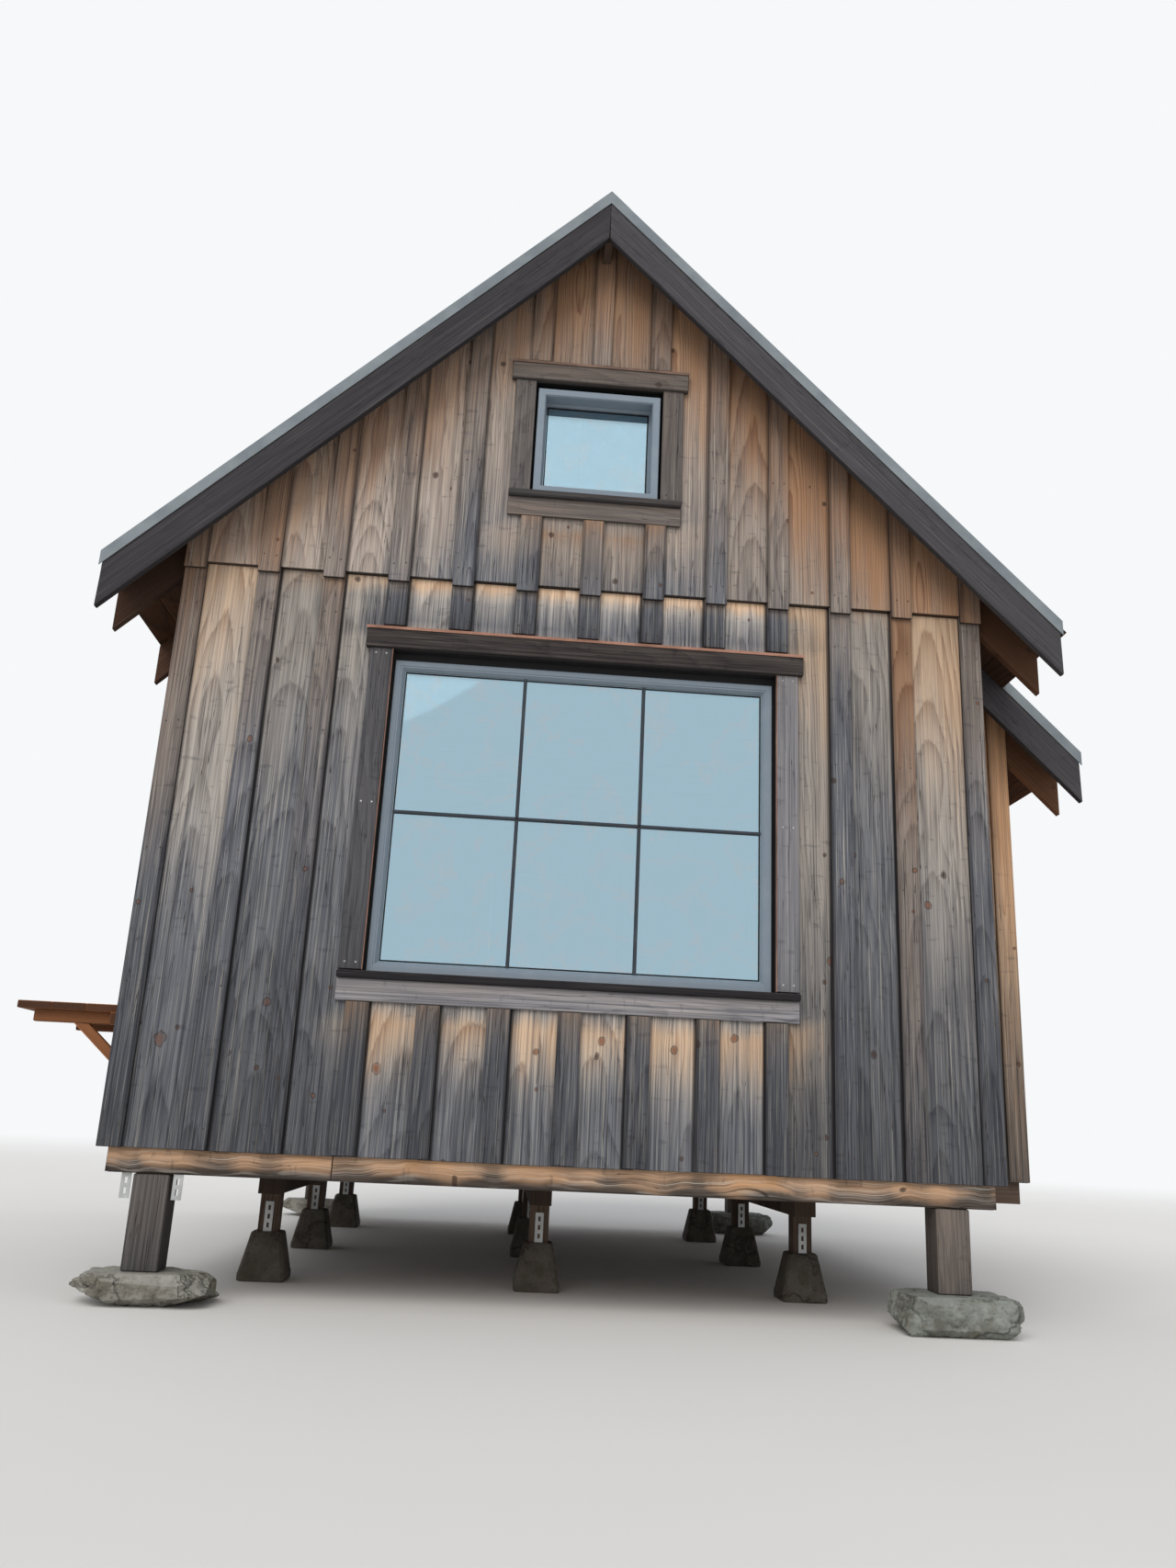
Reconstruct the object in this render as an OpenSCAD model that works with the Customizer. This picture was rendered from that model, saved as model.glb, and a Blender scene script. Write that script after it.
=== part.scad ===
// Small gabled timber cabin on posts and stones, with a shallow bay under the lower
// half of its roof. All sizes are in millimetres. Z is zero at the ground, Y is zero
// half way from the front gable to the rear one, and X is zero half way across.

/* [Plan] */
// Width of the main room over its siding
wall_w = 3660; // [3200:10:4400]
// Depth of the main room over its siding
depth = 4800; // [4200:10:6000]
// Height of the siding's lower edge above the ground
clear_h = 575; // [450:5:900]
// Height of the side wall's siding
side_h = 2475; // [2350:5:2800]
// How far the bay stands out of the right wall
bay_out = 390; // [320:5:600]

/* [Walls] */
// Thickness of the framed wall behind the siding
core_t = 100; // [80:1:150]
// Thickness of a siding board
board_t = 19; // [12:1:30]
// Thickness of a batten
batten_t = 19; // [12:1:30]
// Width of a batten
batten_w = 97; // [50:1:120]
// Distance between batten centres
batten_pitch = 291; // [220:1:400]
// Height of the gable siding's lower edge above the side walls' top
course_rise = 55; // [20:5:120]
// How far the gable siding stands in front of the lower siding
course_step = 22; // [15:1:40]
// How far the gable battens hang below the gable boards
course_drop = 38; // [10:1:60]
// Height of the header over the way into the bay
header_h = 200; // [140:5:300]

/* [Floor] */
// Thickness of a joist, rim or rafter
lumber_t = 38; // [30:1:60]
// Depth of the floor joists and rims
joist_h = 184; // [140:1:240]
// How far the rims show below the siding
rim_drop = 95; // [60:1:120]
// Thickness of the floor boards
floor_t = 19; // [15:1:40]
// Largest distance between joist centres
joist_pitch = 420; // [350:10:600]
// Width of a girder
girder_w = 100; // [80:1:150]
// Height of a girder
girder_h = 105; // [80:1:160]
// How far a girder runs past its outermost posts
girder_out = 60; // [20:5:400]

/* [Supports] */
// Side of a square post
post_s = 140; // [90:1:160]
// Distance from the gable's centre to a corner post's centre
post_x = 1615; // [1300:5:1650]
// Distance from the siding face to a corner post's face
post_inset = 60; // [45:1:120]
// Height of the left front stone
left_stone_h = 118; // [80:1:220]
// Height of the right front stone
right_stone_h = 150; // [80:1:220]
// Length of a left corner stone
left_stone_len = 560; // [400:5:640]
// Length of a right corner stone
right_stone_len = 520; // [400:5:640]
// How far the right stones' middles lie outwards from their posts' middles
right_stone_out = 20; // [0:1:80]
// Width of a corner stone
stone_w = 340; // [260:5:420]
// Side of a pier block's foot
pier_foot = 210; // [180:1:300]
// Side of a pier block's top
pier_top = 135; // [115:1:175]
// Height of a pier block
pier_h = 210; // [150:1:260]
// Height of a pier block's upright lower edge
pier_edge_h = 40; // [20:5:80]
// Side of a pier's square post
pier_post_s = 89; // [70:1:110]
// Distance between the rows of piers, from side to side
pier_pitch = 1245; // [1000:5:1400]
// How far the middle row of piers stands left of the gable's centre line
pier_left = 45; // [0:5:100]
// Distance from the siding face to the first pier's centre
pier_inset = 950; // [700:10:1200]
// Height of a galvanised strap
strap_h = 175; // [140:1:220]
// Width of a galvanised strap
strap_w = 38; // [20:1:50]
// Thickness of a galvanised strap
strap_t = 4; // [2:0.5:6]
// How far a post strap reaches below the rims
strap_low = 96; // [60:1:120]
// Gap between a post and the straps beside it
strap_gap = 12; // [4:1:30]
// Height of the strap that holds a pier's post to its block
pier_strap_h = 130; // [80:5:150]

/* [Roof] */
// Roof pitch in degrees
pitch = 45; // [40:1:50]
// Depth of a rafter, square to the slope
rafter_h = 140; // [120:1:190]
// Number of spaces between rafters
rafter_bays = 7; // [5:1:9]
// Length of the notch that seats a rafter on its wall
seat = 63; // [40:1:80]
// Overhang of the side eaves past the siding
eave_out = 286; // [200:2:400]
// Overhang of the bay's eave past its siding
bay_eave_out = 280; // [200:2:400]
// Overhang of the gable ends past the siding
gable_out = 210; // [150:2:300]
// Thickness of a barge board
barge_t = 38; // [25:1:50]
// Thickness of the roof boards
deck_t = 25; // [18:1:40]
// Thickness of the roofing sheet
sheet_t = 4; // [2:0.5:6]
// Height of a roofing rib
rib_h = 16; // [10:1:25]
// Width of a roofing rib
rib_w = 30; // [15:1:45]
// Distance between roofing ribs
rib_pitch = 229; // [150:1:400]
// How far the roofing sheet runs past the eaves
sheet_out = 10; // [5:1:30]
// Width of a ridge cap's side, along the slope
cap_w = 130; // [90:1:200]
// Width of the metal gable edge on top of the roof
edge_w = 66; // [50:1:100]

/* [Large window] */
// Width of the large window's frame
big_w = 1715; // [1400:5:1900]
// Height of the window's frame
big_h = 1397; // [1000:1:1500]
// Distance from the side walls' top down to the window's frame
big_head = 336; // [170:1:400]
// Width of the same window in the left wall
left_big_w = 1160; // [900:5:1400]
// Width of the frame's face
frame_w = 47; // [35:1:60]
// Depth of the frame
frame_d = 68; // [50:1:75]
// How far the frame is set back from the siding face
frame_back = 48; // [42:1:55]
// Thickness of the glass unit
glass_t = 18; // [10:1:24]
// Depth of the groove that holds the glass
groove = 10; // [6:1:15]
// Gap at the sides of a window frame
jamb_gap = 13; // [5:1:20]
// Gap over a window frame
head_gap = 36; // [5:1:45]

/* [Small windows] */
// Width of a small window's frame
small_w = 590; // [450:5:700]
// Height of a small window's frame
small_h = 560; // [450:5:650]
// Height of the gable window's foot above the gable siding's lower edge
small_rise = 476; // [420:1:560]
// Distance from the bay siding's top down to its window's frame
bay_head = 345; // [160:5:500]

/* [Window trim] */
// Width of a side casing
casing_w = 98; // [70:1:110]
// Height of a head board
head_h = 95; // [70:1:120]
// How far a head board runs past the casings at each end
head_out = 21; // [0:1:40]
// How far a head board stands in front of the battens
head_step = 15; // [5:1:30]
// Thickness of the flashing on a head board
flash_t = 4; // [2:0.5:6]
// How far the flashing runs past its head board
flash_out = 6; // [3:1:15]
// Height of the turned-up back of the flashing
flash_h = 18; // [10:1:24]
// Thickness of a sill
sill_h = 36; // [20:1:45]
// How far a sill stands in front of the battens
sill_step = 24; // [10:1:40]
// Fall of a sill's top towards its front edge
sill_fall = 6; // [0:1:12]
// Height of the apron board under a sill
apron_h = 92; // [60:1:120]

/* [Door] */
// Width of the door leaf
door_w = 864; // [760:2:960]
// Height of the door leaf
door_h = 2030; // [1900:5:2050]
// Thickness of the door leaf
door_t = 44; // [35:1:60]
// Gap round the door leaf
door_gap = 4; // [2:0.5:8]

/* [Loft] */
// Height of the loft joists
loft_joist_h = 130; // [100:1:132]
// Gap between the loft floor and the rafters
loft_gap = 6; // [2:1:20]

/* [Shelf] */
// How far the outside shelf stands out of the left wall
shelf_out = 410; // [300:5:600]
// Length of the shelf along the wall
shelf_len = 610; // [450:5:800]
// Height of the shelf's top above the siding's foot
shelf_z = 551; // [400:1:700]
// Thickness of the shelf's top
shelf_t = 30; // [20:1:45]
// Distance from the front siding face to the shelf
shelf_inset = 45; // [42:1:150]
// Height of the rails under the shelf
rail_h = 48; // [30:1:70]
// Thickness of the rails and braces
rail_t = 35; // [25:1:45]
// How far down the wall the braces reach below the rails
brace_drop = 166; // [120:2:260]
// How far out along the rails the braces reach
brace_run = 184; // [120:2:280]
// Width of a brace's cut ends
brace_w = 52; // [35:1:70]
// How far the rails stop short of the shelf's outer edge
rail_back = 60; // [0:5:120]

/* [Hidden] */

// Clearance of a pane in its groove and of other parts that slide together
fit = 0.3;
// Overlap of a cutting shape past the face that it cuts, and of boards fused at a corner
eps = 1;

// Colours
c_grey = [0.40, 0.42, 0.45];
c_honey = [0.66, 0.45, 0.26];
c_dark = [0.16, 0.15, 0.16];
c_stone = [0.70, 0.73, 0.70];
c_metal = [0.50, 0.56, 0.57];
c_frame = [0.25, 0.29, 0.34];
c_glass = [0.62, 0.70, 0.78];
c_fresh = [0.78, 0.60, 0.40];

// Plan, seen from the gable's centre line
skin = board_t + batten_t;
half_w = wall_w / 2;
half_d = depth / 2;
core_x = half_w - skin;
core_y = half_d - skin;
room_x = core_x - core_t;
room_y = core_y - core_t;

// Heights, from the ground
foot = clear_h;
rim_low = foot - rim_drop;
joist_top = rim_low + joist_h;
floor_z = joist_top + floor_t;

// Roof: the rafters' lower faces meet at the apex
slope = tan(pitch);
rafter_v = rafter_h / cos(pitch);
deck_v = deck_t / cos(pitch);
sheet_v = sheet_t / cos(pitch);
rib_v = rib_h / cos(pitch);
apex = foot + side_h + half_w * slope;
eave_x = half_w + eave_out;
plate_z = under(core_x - seat);

// Rafters stand on both gable walls and at equal spaces between them
rafter_step = (2 * core_y - lumber_t) / rafter_bays;
rafter_ys = [for (i = [0 : rafter_bays]) -core_y + lumber_t / 2 + i * rafter_step];

// The bay runs from the second rafter to the last but one
bay_x = half_w + bay_out;
bay_core_x = bay_x - skin;
bay_core_y = core_y - rafter_step;
bay_half_d = bay_core_y + skin;
bay_eave_x = bay_x + bay_eave_out;
bay_plate_z = under(bay_core_x - seat);

// Half of the difference between the two sides' reach centres the whole on X
reach_right = bay_eave_x + sheet_out;
reach_left = max(eave_x + sheet_out, half_w + shelf_out);
shift_x = (reach_left - reach_right) / 2;

// Heights of the gable siding's lower edge and of the windows' feet, from the ground
course_low = foot + side_h + course_rise;
big_foot = foot + side_h - big_head - big_h;
small_foot = course_low + small_rise;
bay_win_foot = under(bay_x) - bay_head - small_h;

// Height of the rafters' lower face and of the roof boards' lower face over a place on X
function under(x) = apex - abs(x) * slope;
function deck_low(x) = under(x) + rafter_v;

// Stands its children where the cabin's own centre line lies
module place() {
    translate([shift_x, 0, 0]) children();
}

// Sheets drawn in X and Z, and thickened towards +Y from a given Y
module upright(y, t) {
    translate([0, y + t, 0]) rotate([90, 0, 0]) linear_extrude(t) children();
}

// A wall's own frame: X along the wall, Y inwards from the siding face
module on_front() {
    translate([0, -half_d, 0]) children();
}

module on_rear() {
    translate([0, half_d, 0]) rotate([0, 0, 180]) children();
}

module on_left() {
    translate([-half_w, 0, 0]) rotate([0, 0, -90]) children();
}

module on_right() {
    translate([half_w, 0, 0]) rotate([0, 0, 90]) children();
}

module on_bay_side() {
    translate([bay_x, 0, 0]) rotate([0, 0, 90]) children();
}

module on_bay_front() {
    translate([0, -bay_half_d, 0]) children();
}

module on_bay_rear() {
    mirror([0, 1, 0]) on_bay_front() children();
}

module both_ends() {
    children();
    mirror([0, 1, 0]) children();
}

module both_sides() {
    children();
    mirror([1, 0, 0]) children();
}

module rect(x0, x1, z0, z1) {
    translate([x0, z0]) square([x1 - x0, z1 - z0]);
}

// Board-and-batten siding

// Vertical strips at the batten places of a wall that reaches from -half to half
module batten_strips(half, z0, z1, from_end) {
    n = floor((half - batten_w * 1.5) / batten_pitch);
    for (k = [-n : n]) rect(k * batten_pitch - batten_w / 2, k * batten_pitch + batten_w / 2, z0, z1);
    if (from_end) {
        rect(-half, -half + batten_w, z0, z1);
        rect(half - batten_w, half, z0, z1);
    }
}

// Opening in the framed wall, which seats the window's foot
module window_hole(w, h, z) {
    rect(-w / 2 - jamb_gap, w / 2 + jamb_gap, z, z + h + head_gap);
}

// Opening in the boards, which also lets the sill through
module board_hole(w, h, z) {
    rect(-w / 2 - jamb_gap, w / 2 + jamb_gap, z - sill_h, z + h + head_gap);
}

// The whole field that a window's trim covers
module window_field(w, h, z) {
    x = w / 2 + jamb_gap + casing_w + head_out + flash_out + fit;
    y0 = z - sill_h - apron_h - fit;
    rect(-x, x, y0, z + h + head_gap + head_h + flash_h + fit);
}

module door_hole() {
    rect(-door_w / 2 - door_gap, door_w / 2 + door_gap, floor_z, floor_z + door_h + 2 * door_gap);
}

module door_field() {
    x = door_w / 2 + door_gap + casing_w + fit;
    rect(-x, x, foot - eps, floor_z + door_h + 2 * door_gap + casing_w + fit);
}

module lower_gable_outline() {
    rect(-half_w, half_w, foot, course_low);
}

module upper_gable_outline(z0) {
    polygon([
        [-half_w, z0], [half_w, z0], [half_w, deck_low(half_w)],
        [0, deck_low(0)], [-half_w, deck_low(half_w)]
    ]);
}

module front_siding() {
    color(c_grey) on_front() {
        upright(batten_t, board_t) difference() {
            lower_gable_outline();
            board_hole(big_w, big_h, big_foot);
        }
        upright(0, batten_t) difference() {
            batten_strips(half_w, foot, course_low, true);
            window_field(big_w, big_h, big_foot);
        }
    }
}

module rear_siding() {
    color(c_grey) on_rear() {
        upright(batten_t, board_t) difference() {
            lower_gable_outline();
            door_hole();
        }
        upright(0, batten_t) difference() {
            batten_strips(half_w, foot, course_low, true);
            door_field();
        }
    }
}

// Housing of the ridge board, which runs out to the barge boards
module ridge_hole() {
    rect(-lumber_t / 2 - fit, lumber_t / 2 + fit, apex - fit, apex + 2 * rafter_v);
}

// Gable siding: furred boards that stand proud of the lower ones
module gable_siding() {
    color(c_grey) {
        upright(batten_t - course_step, board_t + course_step) difference() {
            upper_gable_outline(course_low);
            board_hole(small_w, small_h, small_foot);
            ridge_hole();
        }
        upright(-course_step, batten_t) difference() {
            intersection() {
                upper_gable_outline(course_low - course_drop);
                batten_strips(half_w, course_low - course_drop, apex + rafter_v, true);
            }
            window_field(small_w, small_h, small_foot);
            ridge_hole();
        }
    }
}

module front_gable_siding() {
    on_front() gable_siding();
}

module rear_gable_siding() {
    on_rear() gable_siding();
}

// Side walls' siding ends against the back of the gable siding
module left_siding() {
    color(c_grey) on_left() {
        upright(batten_t, board_t) difference() {
            rect(-core_y, core_y, foot, foot + side_h);
            board_hole(left_big_w, big_h, big_foot);
        }
        upright(0, batten_t) difference() {
            batten_strips(core_y, foot, foot + side_h, true);
            window_field(left_big_w, big_h, big_foot);
        }
    }
}

// The right wall shows only in front of the bay and behind it
module right_siding() {
    color(c_grey) both_ends() on_right() {
        upright(batten_t, board_t) rect(-core_y, -bay_half_d, foot, foot + side_h);
        upright(0, batten_t) {
            rect(-core_y, -core_y + batten_w, foot, foot + side_h);
            mid = (core_y + bay_half_d) / 2;
            rect(-mid - batten_w / 2, -mid + batten_w / 2, foot, foot + side_h);
        }
    }
}

// Siding of the bay's narrow ends, up to the roof boards outside the main eave wall
module bay_end_outline() {
    polygon([
        [core_x, foot], [bay_x, foot], [bay_x, deck_low(bay_x)], [half_w, deck_low(half_w)],
        [half_w, under(half_w)], [core_x, under(half_w)]
    ]);
}

module bay_end_siding() {
    upright(batten_t, board_t) bay_end_outline();
    upright(0, batten_t) intersection() {
        bay_end_outline();
        union() {
            rect(bay_x - batten_w, bay_x, foot, apex);
            rect(half_w, half_w + batten_w, foot, apex);
        }
    }
}

module bay_siding() {
    color(c_fresh) {
        on_bay_front() bay_end_siding();
        on_bay_rear() bay_end_siding();
        on_bay_side() {
            upright(batten_t, board_t) difference() {
                rect(-bay_core_y - eps, bay_core_y + eps, foot, under(bay_x));
                board_hole(small_w, small_h, bay_win_foot);
            }
            upright(0, batten_t) difference() {
                batten_strips(bay_core_y, foot, under(bay_x), true);
                window_field(small_w, small_h, bay_win_foot);
            }
        }
    }
}

// Framed walls

module gable_core_outline() {
    polygon([
        [-core_x, floor_z], [core_x, floor_z], [core_x, plate_z], [core_x - seat, plate_z],
        [0, apex], [-core_x + seat, plate_z], [-core_x, plate_z]
    ]);
}

module front_wall() {
    color(c_honey) on_front() upright(skin, core_t) difference() {
        gable_core_outline();
        window_hole(big_w, big_h, big_foot);
        window_hole(small_w, small_h, small_foot);
    }
}

module rear_wall() {
    color(c_honey) on_rear() upright(skin, core_t) difference() {
        gable_core_outline();
        door_hole();
        window_hole(small_w, small_h, small_foot);
    }
}

module left_wall() {
    color(c_honey) on_left() upright(skin, core_t) difference() {
        rect(-room_y, room_y, floor_z, plate_z);
        window_hole(left_big_w, big_h, big_foot);
    }
}

bay_room_y = bay_core_y - core_t;

// The right wall is two piers and a header, open to the bay between them
module right_wall() {
    color(c_honey) on_right() upright(skin, core_t) difference() {
        rect(-room_y, room_y, floor_z, plate_z);
        rect(-bay_room_y, bay_room_y, floor_z - eps, plate_z - header_h);
    }
}

module bay_side_wall() {
    color(c_honey) on_bay_side() upright(skin, core_t) difference() {
        rect(-bay_core_y, bay_core_y, floor_z, bay_plate_z);
        window_hole(small_w, small_h, bay_win_foot);
    }
}

module bay_end_walls() {
    inner = bay_core_x - core_t;
    color(c_honey) both_ends() on_bay_front() upright(skin, core_t) polygon([
        [core_x, floor_z], [inner, floor_z], [inner, under(inner)], [core_x, under(core_x)]
    ]);
}

// Windows, drawn with their foot at zero and their front face at Y zero

module window_frame(w, h) {
    difference() {
        upright(0, frame_d) difference() {
            rect(-w / 2, w / 2, 0, h);
            rect(-w / 2 + frame_w, w / 2 - frame_w, frame_w, h - frame_w);
        }
        upright((frame_d - glass_t) / 2 - fit, glass_t + 2 * fit) rect(
            -w / 2 + frame_w - groove, w / 2 - frame_w + groove, frame_w - groove, h - frame_w + groove
        );
    }
}

module window_pane(w, h) {
    g = groove - fit;
    upright((frame_d - glass_t) / 2, glass_t) rect(
        -w / 2 + frame_w - g, w / 2 - frame_w + g, frame_w - g, h - frame_w + g
    );
}

// Sill board with a flat seat for the casings and a falling nose, from x0 to x1
module sill(x0, x1, front, nose, back) {
    translate([x0, 0, 0]) rotate([90, 0, 90]) linear_extrude(x1 - x0) polygon([
        [front - nose, -sill_h], [back, -sill_h], [back, 0], [front, 0], [front - nose, -sill_fall]
    ]);
}

// Casings, apron and sill. The boards behind them stand step in front of the lower siding
module window_casings(w, h, step) {
    x = w / 2 + jamb_gap;
    wide = x + casing_w;
    upright(-step, batten_t) {
        rect(x, wide, 0, h + head_gap);
        rect(-wide, -x, 0, h + head_gap);
        rect(-wide, wide, -sill_h - apron_h, -sill_h);
    }
    sill(-wide, wide, -step, sill_step, batten_t - step);
    upright(batten_t - step, board_t + step) rect(-x, x, -sill_h, 0);
}

// Head board under a bent metal flashing
module window_head(w, h, step) {
    x = w / 2 + jamb_gap + casing_w + head_out;
    z = h + head_gap + head_h;
    back = batten_t - step;
    upright(back - batten_t - head_step, head_step + batten_t) rect(-x, x, z - head_h, z);
    upright(back - batten_t - head_step - flash_out, head_step + flash_out + batten_t) {
        rect(-x - flash_out, x + flash_out, z, z + flash_t);
    }
    upright(back - flash_t, flash_t) rect(-x - flash_out, x + flash_out, z, z + flash_h);
}

module at_large_windows() {
    on_front() translate([0, 0, big_foot]) children(0);
    on_left() translate([0, 0, big_foot]) children(1);
}

module large_window_frames() {
    color(c_frame) at_large_windows() {
        translate([0, frame_back, 0]) window_frame(big_w, big_h);
        translate([0, frame_back, 0]) window_frame(left_big_w, big_h);
    }
}

module large_window_glass() {
    color(c_glass) at_large_windows() {
        translate([0, frame_back, 0]) window_pane(big_w, big_h);
        translate([0, frame_back, 0]) window_pane(left_big_w, big_h);
    }
}

module large_window_trim() {
    color(c_grey) at_large_windows() {
        window_casings(big_w, big_h, 0);
        window_casings(left_big_w, big_h, 0);
    }
}

module large_window_heads() {
    color(c_dark) at_large_windows() {
        window_head(big_w, big_h, 0);
        window_head(left_big_w, big_h, 0);
    }
}

module at_small_windows() {
    on_front() translate([0, 0, small_foot]) children();
    on_rear() translate([0, 0, small_foot]) children();
    on_bay_side() translate([0, 0, bay_win_foot]) children();
}

module small_window_frames() {
    color(c_frame) at_small_windows() translate([0, frame_back, 0]) window_frame(small_w, small_h);
}

module small_window_glass() {
    color(c_glass) at_small_windows() translate([0, frame_back, 0]) window_pane(small_w, small_h);
}

module small_trim(step) {
    window_casings(small_w, small_h, step);
    window_head(small_w, small_h, step);
}

module small_window_trim() {
    color(c_honey) {
        on_front() translate([0, 0, small_foot]) small_trim(course_step);
        on_rear() translate([0, 0, small_foot]) small_trim(course_step);
        on_bay_side() translate([0, 0, bay_win_foot]) small_trim(0);
    }
}

// Door

module rear_door() {
    color(c_honey) on_rear() upright(skin, door_t) rect(
        -door_w / 2, door_w / 2, floor_z + fit, floor_z + fit + door_h
    );
}

module rear_door_trim() {
    x = door_w / 2 + door_gap;
    top = floor_z + door_h + 2 * door_gap;
    color(c_grey) on_rear() upright(0, batten_t) difference() {
        rect(-x - casing_w, x + casing_w, foot, top + casing_w);
        rect(-x, x, floor_z, top);
    }
}

// Foundation

// Points round a stone, how square its corners are and how far they are worn back
stone_n = 14;
stone_square = 0.45;
stone_wear = 0.09;
// Shares of a stone's full outline at its foot and crown, and the height of the full outline
stone_foot = 0.93;
stone_crown = 0.95;
stone_belly = 0.55;

// Outline of a rough stone: a square-shouldered oval with uneven corners
function squared(c) = sign(c) * pow(abs(c), stone_square);
function stone_ring(l, w, seed) = [
    for (i = [0 : stone_n - 1])
        let (a = 360 * i / stone_n, k = 1 - stone_wear * (1 + sin(seed + 137 * i)))
        [l / 2 * k * squared(cos(a)), w / 2 * k * squared(sin(a))]
];

module stone_slice(l, w, z, seed) {
    translate([0, 0, z]) linear_extrude(eps) polygon(stone_ring(l, w, seed));
}

module stone(l, w, h, seed) {
    hull() {
        stone_slice(l * stone_foot, w * stone_foot, 0, seed);
        stone_slice(l, w, h * stone_belly, seed + 40);
        stone_slice(l * stone_crown, w * stone_crown, h - eps, seed + 80);
    }
}

post_y = half_d - post_inset - post_s / 2;

module corner_stones() {
    right_x = post_x + right_stone_out;
    color(c_stone) {
        translate([-post_x, -post_y, 0]) stone(left_stone_len, stone_w, left_stone_h, 20);
        translate([right_x, -post_y, 0]) stone(right_stone_len, stone_w, right_stone_h, 75);
        translate([-post_x, post_y, 0]) stone(left_stone_len, stone_w, left_stone_h, 130);
        translate([right_x, post_y, 0]) stone(right_stone_len, stone_w, right_stone_h, 190);
    }
}

// Post of a rear corner, on a stone whose top is at low
module corner_post(x, low) {
    translate([x - post_s / 2, post_y - post_s / 2, low]) cube([post_s, post_s, rim_low - low]);
}

module corner_posts() {
    color(c_grey) both_ends() {
        corner_post(-post_x, left_stone_h);
        corner_post(post_x, right_stone_h);
    }
}

// Upright strap centred on x, with its lower end at z and its back or face at y
module strap(x, y, z, h) {
    translate([x - strap_w / 2, y, z]) cube([strap_w, strap_t, h]);
}

// Straps on the inner faces of the gable rims beside the left posts, and up the front of each pier's post
module post_straps() {
    off = post_s / 2 + strap_gap + strap_w / 2;
    color(c_metal) {
        both_ends() for (side = [-1, 1]) {
            strap(-post_x + side * off, -core_y + lumber_t, rim_low - strap_low, strap_h);
        }
        for (x = pier_xs, y = pier_ys) strap(x, y - pier_post_s / 2 - strap_t, pier_h, pier_strap_h);
    }
}

pier_y = half_d - pier_inset;
pier_ys = [-pier_y, 0, pier_y];
pier_xs = [for (i = [-1 : 1]) i * pier_pitch - pier_left];
girder_low = rim_low - girder_h;
girder_reach = pier_y + pier_post_s / 2 + girder_out;

module pier_block() {
    hull() {
        translate([-pier_foot / 2, -pier_foot / 2, 0]) cube([pier_foot, pier_foot, pier_edge_h]);
        translate([-pier_top / 2, -pier_top / 2, pier_h - eps]) cube([pier_top, pier_top, eps]);
    }
}

module pier_blocks() {
    color([0.48, 0.48, 0.46]) for (x = pier_xs, y = pier_ys) translate([x, y, 0]) pier_block();
}

module pier_posts() {
    color(c_honey) for (x = pier_xs, y = pier_ys) {
        translate([x - pier_post_s / 2, y - pier_post_s / 2, pier_h]) {
            cube([pier_post_s, pier_post_s, girder_low - pier_h]);
        }
    }
}

module girders() {
    color(c_honey) for (x = pier_xs) {
        translate([x - girder_w / 2, -girder_reach, girder_low]) cube([girder_w, 2 * girder_reach, girder_h]);
    }
}

// Floor

module front_rim() {
    color(c_fresh) translate([-core_x, -core_y, rim_low]) cube([2 * core_x, lumber_t, joist_h]);
}

// Inner faces of the gable rims and of the bay's end joists
rim_y = core_y - lumber_t;
bay_rim_y = bay_core_y - lumber_t;

// Places of joists at equal spaces between two timbers, no further apart than the pitch
function joists_between(a, b) =
    let (n = ceil((b - a) / joist_pitch) - 1)
    [for (i = [1 : 1 : n]) a + i * (b - a) / (n + 1)];

module timber(x0, x1, y0, y1) {
    translate([x0, y0, rim_low]) cube([x1 - x0, y1 - y0, joist_h]);
}

// A joist centred on y, from the left rim to the rim whose inner face is at far
module joist(y, far) {
    timber(-core_x + lumber_t + fit, far - fit, y - lumber_t / 2, y + lumber_t / 2);
}

// Separate timbers, which butt with a hair of room. The bay's joists run on over the right girder
module floor_frame() {
    near = core_x - lumber_t;
    far = bay_core_x - lumber_t;
    color(c_honey) {
        timber(-core_x, core_x, rim_y, core_y);
        timber(-core_x, -near, -rim_y + fit, rim_y - fit);
        timber(far, bay_core_x, -bay_core_y, bay_core_y);
        for (y = joists_between(-bay_rim_y, bay_rim_y)) joist(y, far);
        both_ends() {
            timber(near, core_x, -rim_y + fit, -bay_core_y - fit);
            joist(-bay_core_y + lumber_t / 2, far);
            for (y = joists_between(-rim_y, -bay_core_y)) joist(y, near);
        }
    }
}

module floor_deck() {
    color(c_honey) translate([0, 0, joist_top]) linear_extrude(floor_t) {
        translate([-core_x, -core_y]) square([2 * core_x, 2 * core_y]);
        translate([0, -bay_core_y]) square([bay_core_x, 2 * bay_core_y]);
    }
}

// Loft

loft_top = plate_z + loft_joist_h;

// Each loft joist lies against one rafter and rests on both side walls
module loft_joists() {
    color(c_honey) for (i = [1 : rafter_bays - 1]) {
        translate([-core_x, rafter_ys[i] + lumber_t / 2, plate_z]) cube([2 * core_x, lumber_t, loft_joist_h]);
    }
}

module loft_deck() {
    half = (apex - loft_top - floor_t) / slope - loft_gap;
    color(c_honey) translate([-half, -room_y, loft_top]) cube([2 * half, 2 * room_y, floor_t]);
}

// Roof frame

// Rafter with a notch at each wall that it rests on, drawn for the right-hand slope
module rafter_outline(end_x, walls) {
    top = [[end_x, deck_low(end_x)], [lumber_t / 2, deck_low(lumber_t / 2)]];
    difference() {
        polygon(concat([[lumber_t / 2, under(lumber_t / 2)], [end_x, under(end_x)]], top));
        for (x = walls) rect(x - seat - eps, x, under(x) - seat, under(x - seat));
    }
}

module rafter(y, end_x, walls) {
    upright(y - lumber_t / 2, lumber_t) rafter_outline(end_x, walls);
}

module left_rafters() {
    color(c_honey) for (y = rafter_ys) mirror([1, 0, 0]) rafter(y, eave_x, [core_x]);
}

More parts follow.
